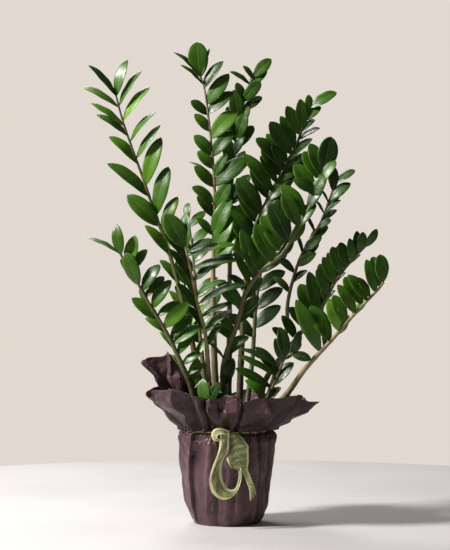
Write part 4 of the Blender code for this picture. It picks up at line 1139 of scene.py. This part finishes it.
# stem: a round tube on a smooth line, swollen a little at each joint
line = step(group, "MeshToCurve", {0: stem_line})
line = step(group, "ResampleCurve", {0: line, "Count": STEM_RINGS})
along = step(group, "SplineParameter")
line = stored(group, line, "stem_along", along)
joint = ((along * ports["Joints"] * math.tau).apply("SINE") * 0.5 + 0.5) ** 10
radius = named_value(group, "girth") * (joint * ports["Joint swelling"] + 1)
ring = step(group, "CurvePrimitiveCircle", {"Resolution": STEM_SIDES, "Radius": 1.0})
tube = step(group, "CurveToMesh", {0: line, 1: ring, "Scale": radius, "Fill Caps": True})


def skinned(geometry, surface):
    """Close a geometry's seams and give it its material."""
    closed = step(group, "MergeByDistance", {0: geometry, "Distance": SEAM})
    return step(group, "SetMaterial", {0: closed, 2: ports[surface]})


tube = skinned(tube, "Stem surface")

# leaflet: a sheet closed round on itself, thin, pinched to a stalk at its foot and a point at its tip
sheet = step(group, "MeshGrid", {
    "Size X": 1.0, "Size Y": 1.0, "Vertices X": BLADE_AROUND + 1, "Vertices Y": BLADE_ALONG + 1})
spread = parts_of(step(group, "InputPosition"))
around = (spread[0] + 0.5) * math.tau
sheet = stored(group, sheet, "blade_across", around.apply("COSINE"))
sheet = stored(group, sheet, "blade_upper", around.apply("SINE"))
sheet = stored(group, sheet, "blade_along", spread[1] + 0.5)
leaves = step(group, "InstanceOnPoints", {"Points": feet, "Instance": sheet})
leaves = step(group, "RealizeInstances", {0: leaves})
x = named_value(group, "blade_across")
y = named_value(group, "blade_along")
side = named_value(group, "blade_upper")
length, width, point = parts_of(named_value(group, "blade_size", "FLOAT_VECTOR"))
fold, arch, wave = parts_of(named_value(group, "blade_shape", "FLOAT_VECTOR"))
rest = (1 - y).apply("MAXIMUM", 0.0)
outline = (y.apply("MAXIMUM", 0.0) ** BLADE_SHOULDER) * (rest ** point) * BLADE_FULL
half = width * 0.5 * outline
blade_x = x * half
off = blade_x.apply("ABSOLUTE")
edge = x.apply("ABSOLUTE")
rise = off * fold + arch * length * 4 * y * rest
rise = rise - width * 0.10 * edge * edge * edge * outline
rise = rise + wave * (y * 15 + fold * 40).apply("SINE") * edge * edge * outline * length
rise = rise - arch * length * 1.2 * (y ** 4)
thick = side * ports["Blade thickness"] * 0.5 * (outline * 0.7 + 0.3)
thick = thick * ((1 - edge * edge) ** 0.5 * 0.8 + 0.2)
rib_up = ((1 - edge) ** 12) * (side.apply("MINIMUM", 0.0)) * 0.0009 * rest
sideways = wave * (y * 4 + fold * 60).apply("SINE") * length * 0.9
local = add_node(group, "ShaderNodeCombineXYZ", None, {
    0: blade_x + sideways * y, 1: y * length, 2: rise + thick + rib_up})[0]
turned = add_node(group, "FunctionNodeRotateVector", None, {
    0: local, 1: named_value(group, "blade_turn", "QUATERNION")})[0]
placed = add_node(group, "ShaderNodeVectorMath", {"operation": "ADD"}, {
    0: turned, 1: named_value(group, "blade_foot", "FLOAT_VECTOR")})[0]
leaves = step(group, "SetPosition", {0: leaves, "Position": placed})
leaves = skinned(leaves, "Leaf surface")
joined = add_node(group, "GeometryNodeJoinGeometry")
for branch in (tube, leaves):
    group.links.new(branch.socket, joined[0].socket.node.inputs[0])
whole = step(group, "RealizeInstances", {0: joined[0]})
add_node(group, "NodeGroupOutput", None, {0: step(group, "SetShadeSmooth", {0: whole})})

# stem tone from green to tan, and how light and how yellow the leaflets run, frond by frond
TONES = {
    "a": (0.25, 0.60), "b": (0.80, 0.42), "c": (0.95, 0.22), "d": (0.30, 0.50), "e": (0.10, 0.30),
    "f": (0.20, 0.38), "g": (0.35, 0.34), "h": (0.15, 0.18), "i": (0.40, 0.30), "j": (0.60, 0.58),
    "k": (0.25, 0.14), "l": (0.40, 0.22), "m": (0.30, 0.20), "n": (0.30, 0.20),
}
POINT_TABLE = (
    ("is_foot", "BOOLEAN", 1), ("girth", "FLOAT", 1), ("stem_tone", "FLOAT", 1),
    ("blade_tint", "FLOAT", 1), ("blade_size", "FLOAT_VECTOR", 3),
    ("blade_shape", "FLOAT_VECTOR", 3), ("blade_foot", "FLOAT_VECTOR", 3),
    ("blade_turn", "QUATERNION", 4),
)
draws = np.random.default_rng(23)
for key, leaflets in place_leaflets().items():
    tone, light = TONES[key]
    line = [spot * MM for spot in smooth_route(FRONDS[key]["route"], STEM_LINE)]
    spots = line + [place.translation for place, _, _ in leaflets]
    mesh = bpy.data.meshes.new(f"frond_{key}_leaf")
    mesh.from_pydata(spots, [(n, n + 1) for n in range(len(line) - 1)], [])
    count = len(line)
    girths = [stem_radius(FRONDS[key]["radii"], n / (count - 1)) for n in range(count)]
    table = {name: np.zeros((len(spots), width)) for name, _, width in POINT_TABLE}
    table["stem_tone"][:] = tone
    table["girth"][:count, 0] = girths
    for row, (place, length, width) in enumerate(leaflets, count):
        chance = draws.random(4)
        table["is_foot"][row] = 1
        table["blade_size"][row] = (length, width, 0.56 + 0.18 * chance[0])
        table["blade_shape"][row] = (0.20 + 0.20 * chance[1], 0.03 + 0.04 * chance[2],
                                     0.004 + 0.006 * chance[3])
        table["blade_foot"][row] = place.translation
        table["blade_turn"][row] = place.to_quaternion()
        table["blade_tint"][row] = min(1.0, max(0.0, draws.normal(light, 0.17)))
    for name, kind, _ in POINT_TABLE:
        slot = "vector" if kind == "FLOAT_VECTOR" else "value"
        values = table[name].ravel().astype(bool if kind == "BOOLEAN" else float)
        mesh.attributes.new(name, kind, "POINT").data.foreach_set(slot, values)
    frond = grown(f"frond_{key}_leaf", mesh, group, {
        "Blade thickness": 0.0007, "Joint swelling": 0.10, "Joints": len(leaflets) + 3.0,
        "Stem surface": stem_skin, "Leaf surface": leaf_skin})
    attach(frond, "root")
    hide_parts(f"frond_{key}")


# ---- studio ------------------------------------------------------------------------------------
# A round pale floor, a soft light high on the left, a weaker one above and behind, and an even
# pale room.  The camera stands level, at half the plant's height.
FLOOR_REACH = 1.08
EYE_HEIGHT = 0.445
EYE_AWAY = 3.2
EYE_SIDE = -0.0036
FRAME_WIDTH = 0.81  # metres across the view at the plant

floor_form = bmesh.new()
bmesh.ops.create_circle(floor_form, cap_ends=True, segments=128, radius=FLOOR_REACH)
floor = linked("floor", made_mesh("floor", floor_form))
floor_paint, tree, shader = new_surface("floor_paint")
grime = noise(tree, 3, 3)
feed(shader,
     Base_Color=mixed(grime, (0.68, 0.66, 0.645), (0.73, 0.71, 0.695)),
     Roughness=between(grime, 0.3, 0.7, 0.50, 0.62))
floor.data.materials.append(floor_paint)


def soft_light(name, place, aim, size, power, colour):
    """A round lamp that faces a point."""
    lamp = bpy.data.lights.new(name, "AREA")
    lamp.shape = "DISK"
    lamp.size = size
    lamp.energy = power
    lamp.color = colour
    holder = linked(name, lamp)
    holder.location = place
    holder.rotation_euler = (Vector(aim) - Vector(place)).to_track_quat("-Z", "Y").to_euler()


soft_light("key", (-2.30, -0.82, 2.08), (0, 0, 0.42), 0.6, 150, (1.0, 0.98, 0.94))
soft_light("back", (-0.5, 1.3, 2.0), (0, 0, 0.45), 0.9, 22, (1.0, 1.0, 1.0))

room = bpy.data.worlds.new("room")
bpy.context.scene.world = room
room.use_nodes = True
tree = room.node_tree
tree.nodes.clear()
seen = add_node(tree, "ShaderNodeLightPath")[0]
air = add_node(tree, "ShaderNodeBackground", None, {0: (1.0, 0.97, 0.94, 1), 1: 0.10})[0]
wall = add_node(tree, "ShaderNodeBackground", None, {0: (0.760, 0.690, 0.630, 1), 1: 1.0})[0]
mix = add_node(tree, "ShaderNodeMixShader", None, {0: seen, 1: air, 2: wall})[0]
add_node(tree, "ShaderNodeOutputWorld", None, {0: mix})

eye = bpy.data.cameras.new("eye")
eye.sensor_fit = "HORIZONTAL"
eye.sensor_width = 36.0
eye.lens = eye.sensor_width * EYE_AWAY / FRAME_WIDTH
camera = linked("eye", eye)
camera.location = (EYE_SIDE, -EYE_AWAY, EYE_HEIGHT)
camera.rotation_euler = (math.radians(90), 0, 0)
bpy.context.scene.camera = camera
bpy.context.scene.view_settings.view_transform = "Standard"
